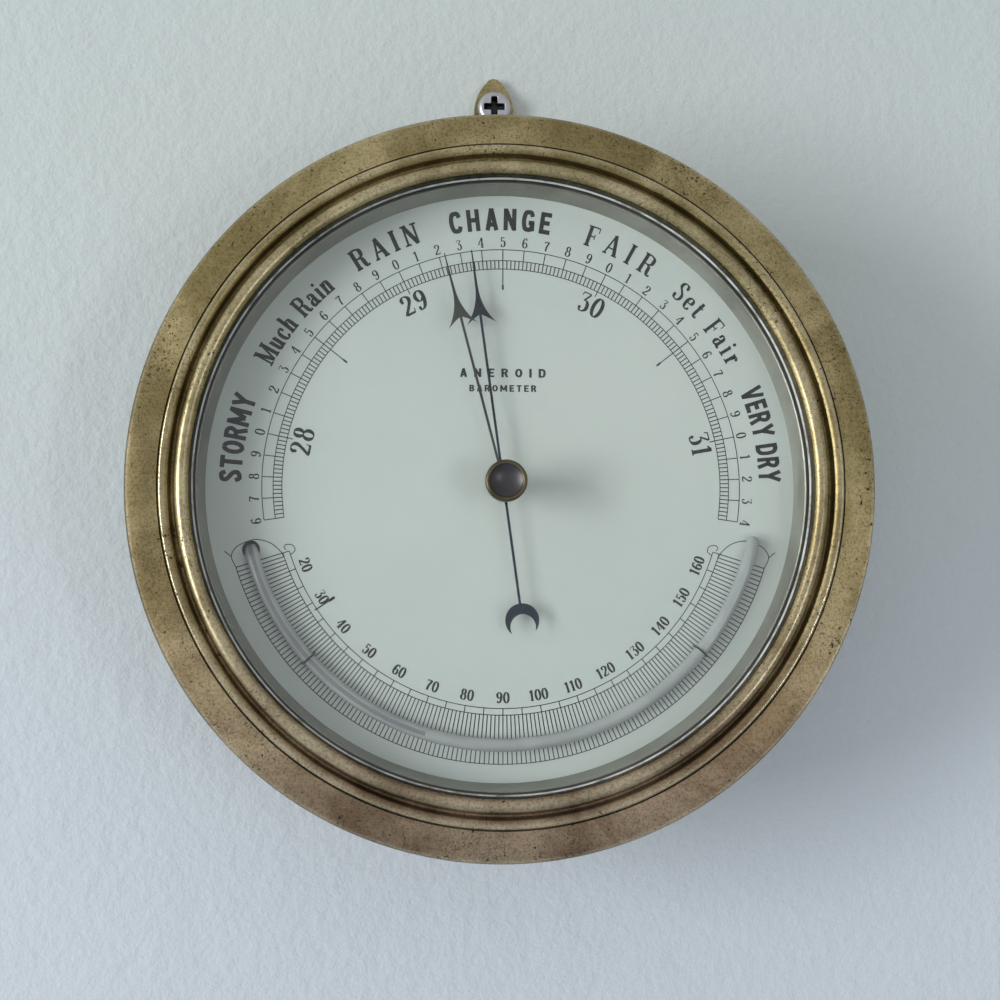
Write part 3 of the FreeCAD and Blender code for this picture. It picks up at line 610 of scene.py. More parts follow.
# %% Barometer scale
FIRST_INCH, LAST_INCH = 27.6, 31.4
tenths = np.arange(round(FIRST_INCH * 10), round(LAST_INCH * 10) + 1)
fiftieths = np.arange(round(FIRST_INCH * 50), round(LAST_INCH * 50) + 1)
BARO_IN, BARO_MID, BARO_OUT = 57.15, 59.4, 62.3
for radius in (BARO_IN, BARO_MID, BARO_OUT):
    arc_line("baro_scale", radius, baro_clock(FIRST_INCH), baro_clock(LAST_INCH), 0.22)
ticks("baro_scale", baro_clock(fiftieths / 50), BARO_IN, BARO_MID, 0.27)
ticks("baro_scale", baro_clock(tenths / 10), BARO_MID, BARO_OUT, 0.24)
ticks("baro_scale", baro_clock(np.array([28.0, 29.0, 30.0, 31.0])), 55.7, BARO_IN, 0.25)
ticks("baro_scale", baro_clock(np.array([28.5, 29.5, 30.5])), 52.4, BARO_OUT, 0.26)
ticks("baro_scale", baro_clock(np.array([28.5, 29.5, 30.5])), 51.6, 52.9, 0.5)

# %% Thermometer scale
fahrenheit = np.arange(15, 166)
fives = np.arange(15, 166, 5)
THERMO_IN, THERMO_MID, THERMO_OUT = 57.7, 59.4, 71.9
for radius in (THERMO_IN, THERMO_MID, THERMO_OUT):
    arc_line("thermo_scale", radius, thermo_clock(165), thermo_clock(15), 0.22)
ticks("thermo_scale", thermo_clock(fahrenheit), THERMO_MID, 65.35, 0.26)
ticks("thermo_scale", thermo_clock(fahrenheit), 68.5, THERMO_OUT, 0.26)
ticks("thermo_scale", thermo_clock(fives), THERMO_IN, THERMO_MID, 0.24)
ARCH = ((71.9, 72.6), (72.3, 75.0), (70.6, 76.6), (68.1, 77.2), (65.1, 77.3), (62.0, 75.9), (60.1, 73.6),
        (59.45, 71.8))
CURL = ((57.75, 71.6), (56.3, 72.3), (56.4, 73.7), (57.8, 74.4), (58.7, 74.0), (58.4, 73.1))
ORNAMENTS = (ARCH, CURL, ((72.3, 75.0), (73.7, 76.4)))
ticks("thermo_scale", thermo_clock(32), 52.2, 58.3, 0.35)
ticks("thermo_scale", thermo_clock(32), 52.2, 54.0, 0.7)
print("ticks:", len(fiftieths) + 2 * len(fahrenheit), "fine,", len(tenths) + len(fives), "long")

# %% [markdown]
# ## Numbers with thick and thin strokes
# Old dials use numbers whose stems are heavy and whose curves thin out to a hair.  The built-in font
# has even strokes, so these numbers are drawn with a pen rule instead: a stroke follows a smooth line
# through a few points, and it is wide where the line runs up or down and thin where it runs across.

# %% Pen strokes
def smooth_line(points, per_span=8):
    """A Catmull-Rom line: each span blends the tangents at its two ends, half the step across each."""
    p = np.array(points, float)
    p = np.concatenate([[2 * p[0] - p[1]], p, [2 * p[-1] - p[-2]]])
    t = np.linspace(0, 1, per_span, endpoint=False)[:, None, None]
    a, b, c, d = p[:-3], p[1:-2], p[2:-1], p[3:]
    line = 0.5 * (2 * b + (c - a) * t + (2 * a - 5 * b + 4 * c - d) * t ** 2
                  + (3 * b - a - 3 * c + d) * t ** 3)
    return np.concatenate([line.transpose(1, 0, 2).reshape(-1, 2), p[-2:-1]])


def unit_tangents(line):
    tangent = np.gradient(line, axis=0)
    return tangent / np.maximum(np.hypot(*tangent.T), 1e-9)[:, None]


def ribbon(line, half):
    """Quads along a line of (x, y): the edges are line -/+ half of the width across the unit tangent."""
    tangent = unit_tangents(line)
    across = half * np.stack([tangent[:, 1], -tangent[:, 0]], 1)
    edges = np.stack([line - across, line + across], 1).reshape(-1, 2)
    i = 2 * np.arange(len(line) - 1)[:, None]
    return edges, i + np.array([[0, 2, 3, 1]])


# %% Characters with serifs
def alphabet(thick, thin):
    """The characters for one weight of pen, as (width, strokes), in hundredths of the cap height."""
    serif, cross, hair = 1.3 * thin, 1.4 * thin, 1.6 * thin

    def pen_line(line):
        """Half width = (thin + (thick - thin) * |rise| ** 1.6) / 2, rise being the unit tangent's y."""
        return ribbon(line, 0.5 * (thin + (thick - thin) * np.abs(unit_tangents(line)[:, 1:]) ** 1.6))

    def pen(*values):
        """A pen stroke along a smooth line through the points x, y, x, y and so on."""
        return pen_line(smooth_line(np.reshape(values, (-1, 2))))

    def bar(x0, y0, x1, y1, width):
        """A straight stroke of an even width."""
        a, b = np.array([x0, y0], float), np.array([x1, y1], float)
        d = (b - a) / np.hypot(*(b - a))
        s = 0.5 * width * np.array([-d[1], d[0]])
        return np.array([a + s, a - s, b - s, b + s]), np.array([[0, 1, 2, 3]])

    def ball(x, y, radius):
        a = np.linspace(0, 2 * np.pi, 14, endpoint=False)
        return np.stack([x + radius * np.cos(a), y + radius * np.sin(a)], 1), [list(range(14))]

    def stem(x, low, high, foot=True, head=True, width=thick):
        """An upright stroke with hair serifs."""
        levels = [low + thin / 2] * foot + [high - thin / 2] * head
        return [bar(x, low, x, high, width)] + [bar(x - 15, level, x + 15, level, serif) for level in levels]

    def oval(cx, cy, rx, ry):
        a = np.linspace(0, 2 * np.pi, 33)
        return pen_line(np.stack([cx + rx * np.sin(a), cy + ry * np.cos(a)], 1))

    def half_turned(strokes, width):
        return [(np.array([width, 100.0]) - points, faces) for points, faces in strokes]

    six = [pen(46, 90, 34, 98, 18, 84, 9, 50, 12, 16, 28, 2, 44, 14, 47, 32, 38, 52, 25, 54, 11, 40),
           ball(44, 85, 7.5)]
    return {
        "0": (56, [oval(28, 50, 21, 48.5)]),
        "1": (42, stem(22, 0, 100, head=False) + [bar(3, 82, 21, 98, hair)]),
        "2": (56, [ball(11, 74, 8), pen(7, 78, 15, 94, 29, 98, 44, 86, 44, 66, 28, 40, 10, 16, 6, 3),
               bar(6, 6.5, 48, 6.5, 12), bar(48, 3, 51, 26, 5)]),
        "3": (54, [bar(8, 97, 46, 97, 6), bar(9, 97, 6, 80, 5), bar(46, 96, 24, 58, hair),
               pen(20, 57, 36, 57, 46, 40, 44, 14, 26, 1.5, 10, 8), ball(13, 17, 8)]),
        "4": (58, stem(40, 0, 100, head=False) + [bar(38, 98, 4, 30, hair), bar(3, 29, 56, 29, 5)]),
        "5": (54, [bar(12, 98, 12, 56, thin * 1.5), bar(11, 93, 45, 93, 10),
               pen(12, 56, 27, 64, 43, 54, 46, 30, 38, 6, 20, 1.5, 8, 10), ball(12, 19, 8)]),
        "6": (54, six),
        "7": (54, [bar(6, 92, 48, 92, 11), bar(7, 97, 5, 74, 5), pen(49, 94, 34, 62, 25, 32, 24, 0)]),
        "8": (56, [oval(28, 75.5, 15.5, 23), oval(28, 27, 20, 25.5)]),
        "9": (54, half_turned(six, 54)),
        "R": (78, stem(16, 0, 100) + [bar(16, 98, 40, 98, serif), bar(16, 51, 40, 51, serif),
               pen(38, 98, 54, 90, 58, 75, 54, 59, 38, 51), pen(38, 51, 50, 42, 54, 14, 62, 2, 74, 7)]),
        "A": (74, [bar(10, 2, 36, 98, hair), bar(36, 100, 62, 2, thick), bar(17, 32, 54, 32, cross),
               bar(0, 2, 22, 2, serif), bar(48, 2, 76, 2, serif)]),
        "I": (34, stem(17, 0, 100)),
        "N": (78, stem(12, 0, 100, width=hair) + stem(64, 0, 100, foot=False,
               width=hair) + [bar(12, 99, 62, 2, thick)]),
        "F": (62, stem(16, 0, 100) + [bar(16, 98, 58, 98, serif), bar(58, 100, 60, 74, 5),
               bar(16, 51, 42, 51, serif), bar(43, 64, 43, 38, 5)]),
        "S": (58,
               [pen(50, 76, 44, 92, 28, 98.5, 13, 88, 13, 70, 30, 54, 45, 38, 47, 16, 30, 1.5, 13, 8, 7,
                   27), bar(50, 98, 50, 70, 4), bar(7, 2, 7, 30, 4)]),
        "M": (90, stem(12, 0, 100, width=hair) + stem(76, 0, 100) + [bar(13, 99, 42, 3, thick),
               bar(42, 3, 75, 98, hair)]),
        "e": (52, [bar(10, 35, 43, 35, cross),
               pen(43, 35, 40, 56, 26, 63.5, 12, 52, 9, 30, 15, 8, 29, 1, 45, 13)]),
        "t": (42, [pen(17, 88, 17, 60, 17, 16, 25, 2, 38, 10), bar(4, 62, 36, 62, cross)]),
        "a": (56, [ball(13, 48, 7), pen(10, 53, 22, 63.5, 36, 54, 37, 30, 38, 8, 46, 1, 54, 8),
               pen(36, 38, 16, 31, 9, 15, 19, 1.5, 37, 14)]),
        "i": (32, stem(16, 0, 62, head=False) + [bar(4, 60, 16, 60, cross), ball(15, 86, 9)]),
        "r": (48, stem(16, 0, 62, head=False) + [bar(4, 60, 16, 60, cross), pen(18, 36, 26, 58, 38, 61),
               ball(39, 53, 7.5)]),
        "u": (62, [pen(15, 62, 15, 40, 17, 10, 28, 1, 42, 16), bar(44, 0, 44, 62, thick),
               bar(3, 61, 18, 61, cross), bar(34, 61, 46, 61, cross), bar(44, 2, 58, 2, cross)]),
        "c": (50, [ball(39, 49, 7.5), pen(43, 53, 28, 63.5, 12, 50, 9, 30, 14, 10, 28, 1, 44, 14)]),
        "h": (64, stem(15, 0, 100, head=False) + stem(46, 0, 46, head=False) + [bar(3, 98, 16, 98, cross),
               pen(17, 42, 28, 61, 42, 58, 46, 44)]),
        "n": (64, stem(15, 0, 62, head=False) + stem(46, 0, 46, head=False) + [bar(3, 60, 16, 60, cross),
               pen(17, 42, 28, 61, 42, 58, 46, 44)]),
        " ": (34, []),
    }


LIGHT, REGULAR, MEDIUM = alphabet(16, 6), alphabet(18, 5.5), alphabet(21, 7)


# %% Plain capitals
def block_letters(w):
    """Heavy capitals with strokes of width w, as (width, strokes), in hundredths of the cap height."""
    h = w / 2

    def stroke(*values):
        """A ribbon of even width along a smooth line, or a straight bar for two points."""
        points = np.reshape(np.array(values, float), (-1, 2))
        return ribbon(smooth_line(points) if len(points) > 2 else points, h)

    def post(x):
        return stroke(x, 0, x, 100)

    bowl = (50, 70, 44, 87, 31, 100 - h, 17, 84, h, 50, 17, 16, 31, h, 44, 13, 50, 30)
    ring = [v for t in np.linspace(0, 2 * np.pi, 25)
            for v in (31 + (31 - h) * np.sin(t), 50 + (50 - h) * np.cos(t))]
    return {
        "A": (62, [stroke(h, 0, 31, 100), stroke(31, 100, 62 - h, 0), stroke(16, 27, 46, 27)]),
        "B": (56, [post(h), stroke(h, 100 - h, 32, 100 - h, 43, 76, 32, 54, h, 54),
               stroke(h, 54, 34, 54, 46, 30, 34, h, h, h)]),
        "C": (58, [stroke(*bowl)]),
        "D": (60, [post(h), stroke(h, 100 - h, 30, 100 - h, 46, 78, 50, 50, 46, 22, 30, h, h, h)]),
        "E": (52, [post(h), stroke(h, 100 - h, 52, 100 - h), stroke(h, 51, 46, 51), stroke(h, h, 52, h)]),
        "G": (60, [stroke(*bowl), stroke(51, 5, 51, 44), stroke(33, 42, 60, 42)]),
        "H": (60, [post(h), post(60 - h), stroke(h, 51, 50, 51)]),
        "I": (w, [post(h)]),
        "M": (78, [post(h), post(78 - h), stroke(h, 96, 39, 22), stroke(39, 22, 78 - h, 96)]),
        "N": (60, [post(h), post(60 - h), stroke(h, 95, 60 - h, 5)]),
        "O": (62, [stroke(*ring)]),
        "R": (58, [post(h), stroke(h, 100 - h, 34, 100 - h, 47, 74, 34, 50, h, 50), stroke(33, 50, 50, 0)]),
        "S": (56,
               [stroke(46, 72, 39, 88, 27, 100 - h, 13, 84, 12, 67, 27, 53, 43, 38, 45, 20, 30, h, 15, 12,
                   8, 29)]),
        "T": (58, [post(29), stroke(0, 100 - h, 58, 100 - h)]),
        "V": (60, [stroke(6, 100, 30, 0), stroke(30, 0, 54, 100)]),
        "Y": (60, [stroke(30, 0, 30, 50), stroke(30, 46, 6, 100), stroke(30, 46, 54, 100)]),
        " ": (16, []),
    }


BLOCK = block_letters(20.5)


# %% Setting words along an arc
def write_arc(layer, text, height, radius, clock_mid, span=None, inward=False, gap=0.14,
              squeeze=1.0, drop=0.0, pen_set=REGULAR):
    """Sets a word along an arc.  radius is to its foot; span, in degrees, spreads it to that width.

    Each letter stands on the radius: point = (radius + y) along the radius + x along the tangent.
    With inward, its top points to the centre.  A huge radius with the same drop gives a straight line.
    """
    letters, unit = [pen_set[c] for c in text], height / 100
    widths = np.array([w * squeeze for w, _ in letters]) * unit
    turn = -1 if inward else 1
    total = widths.sum() + gap * height * (len(letters) - 1)
    if span is not None:
        spare = np.radians(span) * (radius + 0.4 * height) - total
        gap = gap + spare / height / (len(letters) - 1)
        total = total + spare
    x = -total / 2
    for (_, strokes), width in zip(letters, widths):
        a = np.radians(clock_mid) + turn * (x + width / 2) / (radius + turn * 0.4 * height)
        radial = np.array([np.sin(a), np.cos(a)])
        tangent = turn * np.array([np.cos(a), -np.sin(a)])
        for points, faces in strokes:
            px = points[:, :1] * squeeze * unit - width / 2
            py = points[:, 1:] * unit
            placed = (radial * (radius + turn * py) + tangent * px - np.array([0, drop])) * MM
            add_ink(layer, placed, faces)
        x += width + gap * height


# %% Ornaments at the ends of the thermometer scale
for ornament in ORNAMENTS:
    for side in (1, -1):
        r, a = np.array(ornament).T
        a = np.radians(180 + side * a)
        path = np.stack([r * np.sin(a), r * np.cos(a)], 1)
        edges, faces = ribbon(smooth_line(path) if len(path) > 2 else path, 0.11)
        add_ink("thermo_scale", edges * MM, faces)

# %% Numbers and words
for inches in (28, 29, 30, 31):
    write_arc("numerals", str(inches), 5.3, 50.6, baro_clock(inches), squeeze=1.02)
for tenth in tenths:
    write_arc("small_numerals", str(tenth % 10), 2.65, 63.05, baro_clock(tenth / 10), pen_set=LIGHT)
for degrees in range(20, 161, 10):
    write_arc("small_numerals", str(degrees), 2.75, 56.3, thermo_clock(degrees), inward=True, gap=0.10,
              pen_set=MEDIUM)

WORDS = (("STORMY", -80.2, 18.7, 5.8, 0.95, BLOCK), ("Much Rain", -51.6, 22.5, 5.4, 0.86, MEDIUM),
         ("RAIN", -26.3, 15.6, 5.6, 0.95, MEDIUM), ("CHANGE", -0.6, 22, 5.9, 0.95, BLOCK),
         ("FAIR", 26.6, 16.5, 5.6, 0.95, REGULAR), ("Set Fair", 51.6, 20.5, 5.3, 0.9, REGULAR),
         ("VERY DRY", 78.6, 20.6, 5.8, 0.84, BLOCK))
for word, middle, span, height, squeeze, pen_set in WORDS:
    write_arc("words", word, height, 67.5, middle, span=span, squeeze=squeeze, pen_set=pen_set)
STRAIGHT = 4000              # a radius so large that a word on it looks straight
for word, height, rise, span in (("ANEROID", 2.3, 28.4, 0.32), ("BAROMETER", 1.75, 24.6, 0.25)):
    write_arc("words", word, height, rise + STRAIGHT, 0, span, squeeze=1.35, drop=STRAIGHT, pen_set=BLOCK)
print("ink layers:", {name: part[2] for name, part in ink_parts.items()})


# %% Ink to meshes
def ink_piece(layer):
    """One flat piece per layer, facing the reader."""
    points = np.concatenate(ink_parts[layer][0])
    faces = [face if signed_area(points[list(face)]) > 0 else face[::-1] for face in ink_parts[layer][1]]
    grid = np.stack([points[:, 0], np.full(len(points), -INK_DEPTH), points[:, 1]], 1)
    piece = new_mesh("printed_" + layer, grid, faces)
    finish_piece(piece, "case", "dial_white", INK)


for layer in ink_parts:
    ink_piece(layer)

# %% [markdown]
# ## Thermometer
# The thermometer is a drawn glass tube bent round the foot of the dial, with its bulb out of sight
# behind the card.  A curve with a bevel would do, but the bore and the mercury must follow the same
# line exactly, so one function gives the line and all three are circles carried along it.

# %% Tube along its path
TUBE_START, TUBE_BEND = 102.8, 252.0
BEND_R = 4.0 * MM
TUBE_DEPTH = DIAL + TUBE_R + 0.05 * MM


def thermometer_line(first_clock, drop):
    """Points and side directions: an arc round the dial, a quarter bend into it, then a straight drop."""
    clocks = np.linspace(first_clock, TUBE_BEND, int(TUBE_BEND - first_clock) * 2)
    arc, arc_side = polar(THERMO_R, clocks, TUBE_DEPTH), polar(1.0, clocks, 0.0)
    along, side = polar(1.0, TUBE_BEND + 90, 0.0), polar(1.0, TUBE_BEND, 0.0)
    centre = polar(THERMO_R, TUBE_BEND, TUBE_DEPTH - BEND_R)
    q = np.linspace(0, np.pi / 2, 12)[1:, None]
    bend = centre + BEND_R * (along * np.sin(q) + np.array([0, -1, 0]) * np.cos(q))
    fall = bend[-1] + np.linspace(0, drop, 8)[1:, None] * np.array([0, 1, 0])
    line = np.concatenate([arc, bend, fall])
    sides = np.concatenate([arc_side, np.repeat(side[None], len(bend) + len(fall), 0)])
    return line, sides


def carried_circle(name, line, sides, radii, segments=32):
    """A circle carried along a line: point = line + r (side cos b + up sin b), up = tangent x side.

    A last radius of zero closes an end.
    """
    tangent = np.gradient(line, axis=0)
    tangent /= np.linalg.norm(tangent, axis=1)[:, None]
    up = np.cross(tangent, sides)
    b = np.linspace(0, 2 * np.pi, segments, endpoint=False)[None, :, None]
    radii = np.broadcast_to(np.asarray(radii, float), (len(line),))[:, None, None]
    grid = line[:, None] + radii * (sides[:, None] * np.cos(b) + up[:, None] * np.sin(b))
    return surface(name, grid[:, ::-1], False, True, 60)


def domed_start(line, sides, radius, count=8):
    """Adds a round end before a line: radii grow as a circle's do over one radius of length."""
    q = np.linspace(0, np.pi / 2, count)[1:]
    out = (line[0] - line[1]) / np.linalg.norm(line[0] - line[1])
    radii = np.concatenate([(radius * np.cos(q))[::-1], np.full(len(line), float(radius))])
    line = np.concatenate([(line[0] + radius * np.sin(q)[:, None] * out)[::-1], line])
    return line, np.concatenate([np.repeat(sides[:1], len(q), 0), sides]), radii


def with_bulb(line, sides, radii, bulb_r, foot):
    """Widens a tube to its bulb behind the card: the radius follows a rounded step, then a half ball.

    foot is the bulb's rearmost depth.
    """
    start = 31 * MM
    behind = np.linspace(start, foot, 60)
    neck = np.clip((start - behind) / (2.5 * MM), 0, 1)
    neck = neck * neck * (3 - 2 * neck)
    ball = np.sqrt(np.clip(1 - (1 - (behind - foot) / bulb_r) ** 2, 0, 1))
    wide = radii[-1] + (bulb_r - radii[-1]) * neck
    wide = np.where(behind - foot < bulb_r, bulb_r * ball, wide)
    more = np.repeat(line[-1:], len(behind), 0)
    more[:, 1] = -behind
    keep = -line[:, 1] > start + 0.2 * MM
    sides = np.concatenate([sides[keep], np.repeat(sides[-1:], len(behind), 0)])
    return np.concatenate([line[keep], more]), sides, np.concatenate([radii[keep], wide])


def filled_to(name, first_clock, radius, bulb_r, foot, segments):
    path = domed_start(*thermometer_line(first_clock, 8 * MM), radius)
    return carried_circle(name, *with_bulb(*path, bulb_r, foot), segments=segments)


tube = filled_to("thermometer_glass", TUBE_START, TUBE_R, 3.2 * MM, 18 * MM, 32)
finish_piece(tube, "case", "tube_glass", TUBE_GLASS, "thermometer_tube")
mercury = filled_to("thermometer_mercury", thermo_clock(72), 0.42 * MM, 2.7 * MM, 18.6 * MM, 16)
finish_piece(mercury, "case", "mercury", MERCURY, "mercury_thread")

# %% [markdown]
# ## Hands
# A hand is sawn from thin sheet, filed to its outline and polished.  The outline is drawn once as
# lines and arcs, filled as one face, and given its thickness and its filed edge by two modifiers.

# %% Hand outlines
def turned_outline(points, clock):
    """Turns (x, z) points clockwise about the centre."""
    a = np.radians(clock)
    return points @ np.array([[np.cos(a), -np.sin(a)], [np.sin(a), np.cos(a)]])


def sheet_piece(name, points, front, thickness, bevel):
    """A flat piece from a closed outline in (x, z), its front face at a depth."""
    if signed_area(points) < 0:
        points = points[::-1]
    grid = np.stack([points[:, 0], np.full(len(points), -front), points[:, 1]], 1)
    piece = new_mesh(name, grid, [list(range(len(points)))])
    solid = piece.modifiers.new("thickness", "SOLIDIFY")
    solid.thickness, solid.offset = thickness, -1
    edge = piece.modifiers.new("filed edge", "BEVEL")
    edge.width, edge.segments, edge.limit_method = bevel, 2, "ANGLE"
    return piece


TIP, SHAFT = 62.0, 0.33      # length of a hand, half the width of its shaft
ARROW = ((SHAFT, 6), (SHAFT, 44.7), (1.75, 43.9, 3.9, 42.3), (1.15, 47.3, 0.36, 52.0), (0.12, TIP),
         (-0.12, TIP), (-0.36, 52.0), (-1.15, 47.3, -3.9, 42.3), (-1.75, 43.9, -SHAFT, 44.7), (-SHAFT, 6))
set_outline = outline((0.5, 2.4), *ARROW, (-0.5, 2.4), (-2.6, 0, 0, -2.6), (2.6, 0, 0.5, 2.4))
MOON = -35.4
pressure_outline = outline(
    (0.35, 2.1), *ARROW, (-0.35, 2.1), (-2.2, 0, -0.35, -2.1), (-SHAFT, -6), (-SHAFT, MOON + 4.39),
    (-4.05, MOON + 1.7, -3.25, MOON - 2.95), (-3.05, MOON - 3.05), (-2.9, MOON - 0.2, 0, MOON + 1.65),
    (2.9, MOON - 0.2, 3.05, MOON - 3.05), (3.25, MOON - 2.95), (4.05, MOON + 1.7, SHAFT, MOON + 4.39),
    (SHAFT, -6), (0.35, -2.1), (2.2, 0, 0.35, 2.1))
for name, points, inches, node, body, slot, material in (
        ("set_hand_blade", set_outline, 29.22, "set_hand", "set_pointer", "bronzed_hand", BRONZED),
        ("pressure_hand_blade", pressure_outline, 29.35, "pressure_hand", "pointer", "blued_steel", BLUED)):
    hand = sheet_piece(name, turned_outline(points, baro_clock(inches)), front_of(node), 0.35 * MM, 0.08 * MM)
    finish_piece(hand, body, slot, material, node)

# %% [markdown]
# ## Knob
# The knob that moves the set hand is turned brass with a milled edge and a dished, darkened face.

# %% Knob
knob_r, k0, k1 = mm_of("set_knob")
knob_outline = outline(
    (1.5, k0), (4.0, k0), (4.9, k0 + 0.4), (knob_r - 0.05, k0 + 1.2), (knob_r - 0.05, k1 - 1.1),
    (knob_r - 0.1, k1 - 0.3, knob_r - 0.6, k1), (4.35, k1 - 0.1, 4.1, k1 - 0.55), (4.1, k1 - 2.4),
    (1.5, k1 - 2.4))


def milled(co, count=44, cut=0.14 * MM):
    """Cuts flutes: where the radius is near full, it shrinks by a rounded wave of the clock angle."""
    r, a = np.hypot(co[:, 0], co[:, 2]), np.arctan2(co[:, 0], co[:, 2])
    near = np.clip((r / MM - 4.9) / 0.2, 0, 1) * np.clip((k1 - 0.7 + co[:, 1] / MM) / 0.3, 0, 1)
    shrink = cut * near * (0.5 + 0.5 * np.cos(count * a)) ** 2
    co[:, [0, 2]] *= (1 - shrink / np.maximum(r, 1e-6))[:, None]


knob = lathe("set_knob_ring", knob_outline, 352)
moved_points(knob, milled)
finish_piece(knob, "set_pointer", "case_brass", KNOB_BRASS, "set_knob")
dish_outline = outline((0.02, k1 - 1.6), (2.1, k1 - 1.35, 4.12, k1 - 0.5), (4.12, k1 - 1.1),
                       (2.1, k1 - 2.0, 0.02, k1 - 2.2))
finish_piece(lathe("set_knob_face", dish_outline, 128), "set_pointer", "case_brass", KNOB_DISH)

# %% Finishes of the frame's own nodes
def refinish(material, *names):
    for name in names:
        node = frame["nodes"][name]
        node.data.materials.clear()
        node.data.materials.append(material)


refinish(PLAIN_CASE_BRASS, "hanging_lug", "back_plate", "glass_bush", "bezel_screws", "lug_rivets", "bush_nut")
refinish(BRONZED, "thermometer_clips")
refinish(DIAL_CARD, "dial_plate")
refinish(PLAIN_BRASS, "dial_pillars", "set_spindle", "hand_collet", "arbor_pulley", "hairspring_collet",
         "hairspring_stud", "shaft_brackets", "main_lever", "capsule_foot", "capsule_stud", "arbor_strap",
         "strap_pillars", "arbor_cock", "cock_pillars", "base_plate", "bridge", "dial_feet")
refinish(BRIGHT_STEEL, "pointer_arbor", "chain", "crank_arm", "rocking_shaft", "link_arm", "link_rod",
         "bracket_screws", "lever_screws", "spring_screws", "knife_edge", "bridge_screws", "strap_screws",
         "cock_screws", "plate_screws", "adjusting_screw", "dial_foot_screws")
refinish(SPRING_STEEL, "main_spring", "hairspring")
refinish(PLATED, "capsule_front", "capsule_back")

# %% [markdown]
# ## The wall, its screw and the light
# The instrument hangs on a pale wall.  The wall has a hole behind the drum and can't be seen from
# behind, so the back of the instrument can be looked at too.  The screw belongs to the wall.

# %% Wall
def wall_paint():
    material, n, shader = new_material("wall paint")
    place = n.place()
    slow = n.noise(place, 9.0, 3.0)
    height = n.add("SeparateXYZ", Vector=place).outputs[2]
    roller = n.noise(place, 260.0, 5.0, 0.65)
    roller = n.math("ADD", roller, n.math("MULTIPLY", n.noise(place, 70.0, 3.0), 0.8))
    # painted shade: the wall is made a little darker and less blue towards the top, standing in for how the
    # room's light falls on it
    upper = n.ramp(n.scaled(slow, 0.06, height), -0.06, 0.14)
    colour = n.mix(upper, (0.590, 0.640, 0.680), (0.565, 0.618, 0.600))
    colour = n.mix(n.ramp(slow, 0.3, 0.7), colour, (0.98, 0.98, 0.98), "MULTIPLY")
    set_shader(n, shader, Base_Color=colour, Roughness=0.75, Normal=bump(n, roller, 0.5, 0.0012))
    behind = n.add("NewGeometry").outputs["Backfacing"]
    both = n.add("MixShader", i0=behind, i1=shader.outputs[0], i2=n.add("BsdfTransparent").outputs[0])
    n.tree.links.new(both.outputs[0], n.tree.nodes["Material Output"].inputs["Surface"])
    return material


WALL_PAINT = wall_paint()
reach = np.array([78.0, 160.0, 400.0, 3000.0]) * MM
clocks = np.linspace(0, 360, 64, endpoint=False)
wall = surface("wall", polar(reach[::-1, None], clocks[None], -0.2 * MM), False, True)
wall.data.materials.append(WALL_PAINT)
print("wall faces the room:", wall.data.polygons[0].normal.y < 0)

# %% Floor
floor = new_mesh("floor", [(-3, -3, -1.5), (3, -3, -1.5), (3, 3, -1.5), (-3, 3, -1.5)], [(0, 1, 2, 3)])
floor.data.materials.append(WALL_PAINT)

# %% Wall screw
eye = next(m for m in frame["record"]["mounts"] if m["name"] == "hanging_eye")["pos_m"]
screw_outline = outline((0.02, 5.2), *[(r, 5.2) for r in np.arange(0.15, 3.6, 0.12)],
                        (4.35, 4.75, 4.75, 3.3), (4.7, 2.9), (2.45, 0.6), (2.45, 0.1), (0.02, 0.1))
wall_screw = lathe("wall_screw", screw_outline, 192)
slots = []


def cross_recess(co):
    """Sinks the two driver slots, with sloping walls, and raises the screw to the eye."""
    u, v, top = np.abs(co[:, 0]) / MM, np.abs(co[:, 2]) / MM, -co[:, 1] / MM > 4.9
    one, other = [np.clip((3.1 - along) / 0.9, 0, 1) * np.clip((0.95 - across) / 0.22, 0, 1)
                  for along, across in ((u, v), (v, u))]
    deep = top * np.maximum(one, other)
    co[:, 1] += 2.1 * MM * deep
    co[:, 2] += eye[2]
    slots.append(deep > 0.2)


moved_points(wall_screw, cross_recess)
for finish in (ZINC, SLOT_SHADE):
    wall_screw.data.materials.append(finish)
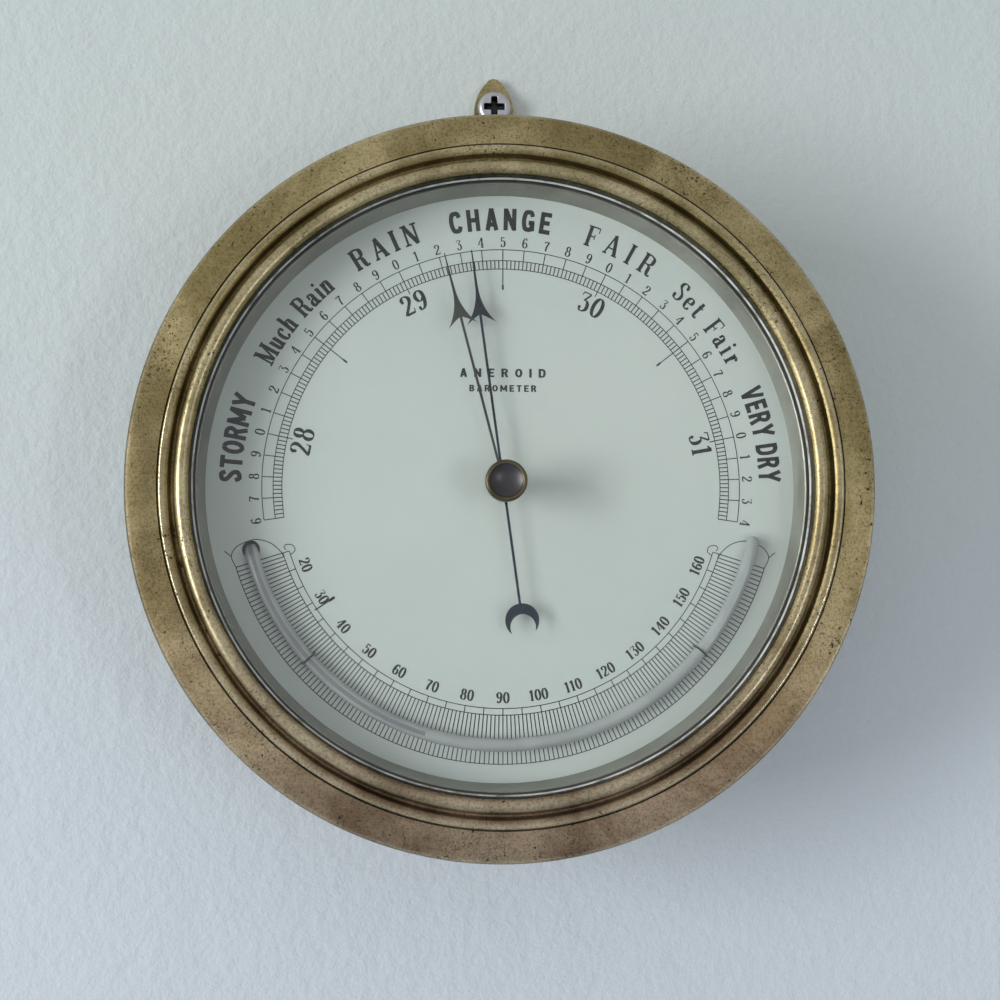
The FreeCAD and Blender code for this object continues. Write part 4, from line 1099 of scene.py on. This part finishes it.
# painted shade: faces in the driver slots get the near-black slot finish
for face in wall_screw.data.polygons:
    face.material_index = int(slots[0][list(face.vertices)].any())

# %% [markdown]
# ## Camera and light
# The view is from a little to the left and a little below, as a person would look up at the dial.
# A window at the upper left is the main light.  The rest is soft light from the room.

# %% Camera
camera_data = bpy.data.cameras.new("camera")
camera_data.lens, camera_data.sensor_width = 55.8, 36.0
camera_data.clip_start, camera_data.clip_end = 0.01, 20.0
camera = bpy.data.objects.new("camera", camera_data)
bpy.context.scene.collection.objects.link(camera)
eye_point = Vector((-26.0, -402.0 - DIAL / MM, -35.4)) * MM
look_at = Vector((-0.7, -DIAL / MM, -3.77)) * MM
camera.location = eye_point
camera.rotation_euler = (look_at - eye_point).to_track_quat("-Z", "Y").to_euler()
bpy.context.scene.camera = camera


# %% Lights
WINDOW_LIGHT = (0.96, 0.98, 1.0)


def area_light(name, place, width, height, power):
    """A rectangle of daylight that faces the instrument."""
    data = bpy.data.lights.new(name, "AREA")
    data.shape, data.size, data.size_y, data.energy = "RECTANGLE", width, height, power
    data.color = WINDOW_LIGHT
    light = bpy.data.objects.new(name, data)
    bpy.context.scene.collection.objects.link(light)
    light.location = place
    light.rotation_euler = (-Vector(place)).to_track_quat("-Z", "Y").to_euler()


area_light("window", (-1.8, -1.2, 0.0), 0.62, 1.1, 28.5)
area_light("far_window", (1.0, -1.9, -0.3), 0.12, 0.5, 3.2)
area_light("low_window", (0.25, -1.3, -1.6), 0.9, 0.16, 5.5)
world = bpy.data.worlds.new("room")
bpy.context.scene.world = world
world.use_nodes = True
world_nodes = Nodes(world.node_tree)
ray = world_nodes.add("TexCoord").outputs["Generated"]
direction = world_nodes.add("SeparateXYZ", Vector=ray).outputs
side = world_nodes.ramp(direction[0], 0.9, -0.9)
room = world_nodes.mix(side, (0.70, 0.71, 0.74), (0.95, 0.98, 1.0))
background = world.node_tree.nodes["Background"]
world.node_tree.links.new(room, background.inputs["Color"])
background.inputs["Strength"].default_value = 0.70
bpy.context.scene.view_settings.view_transform = "Standard"
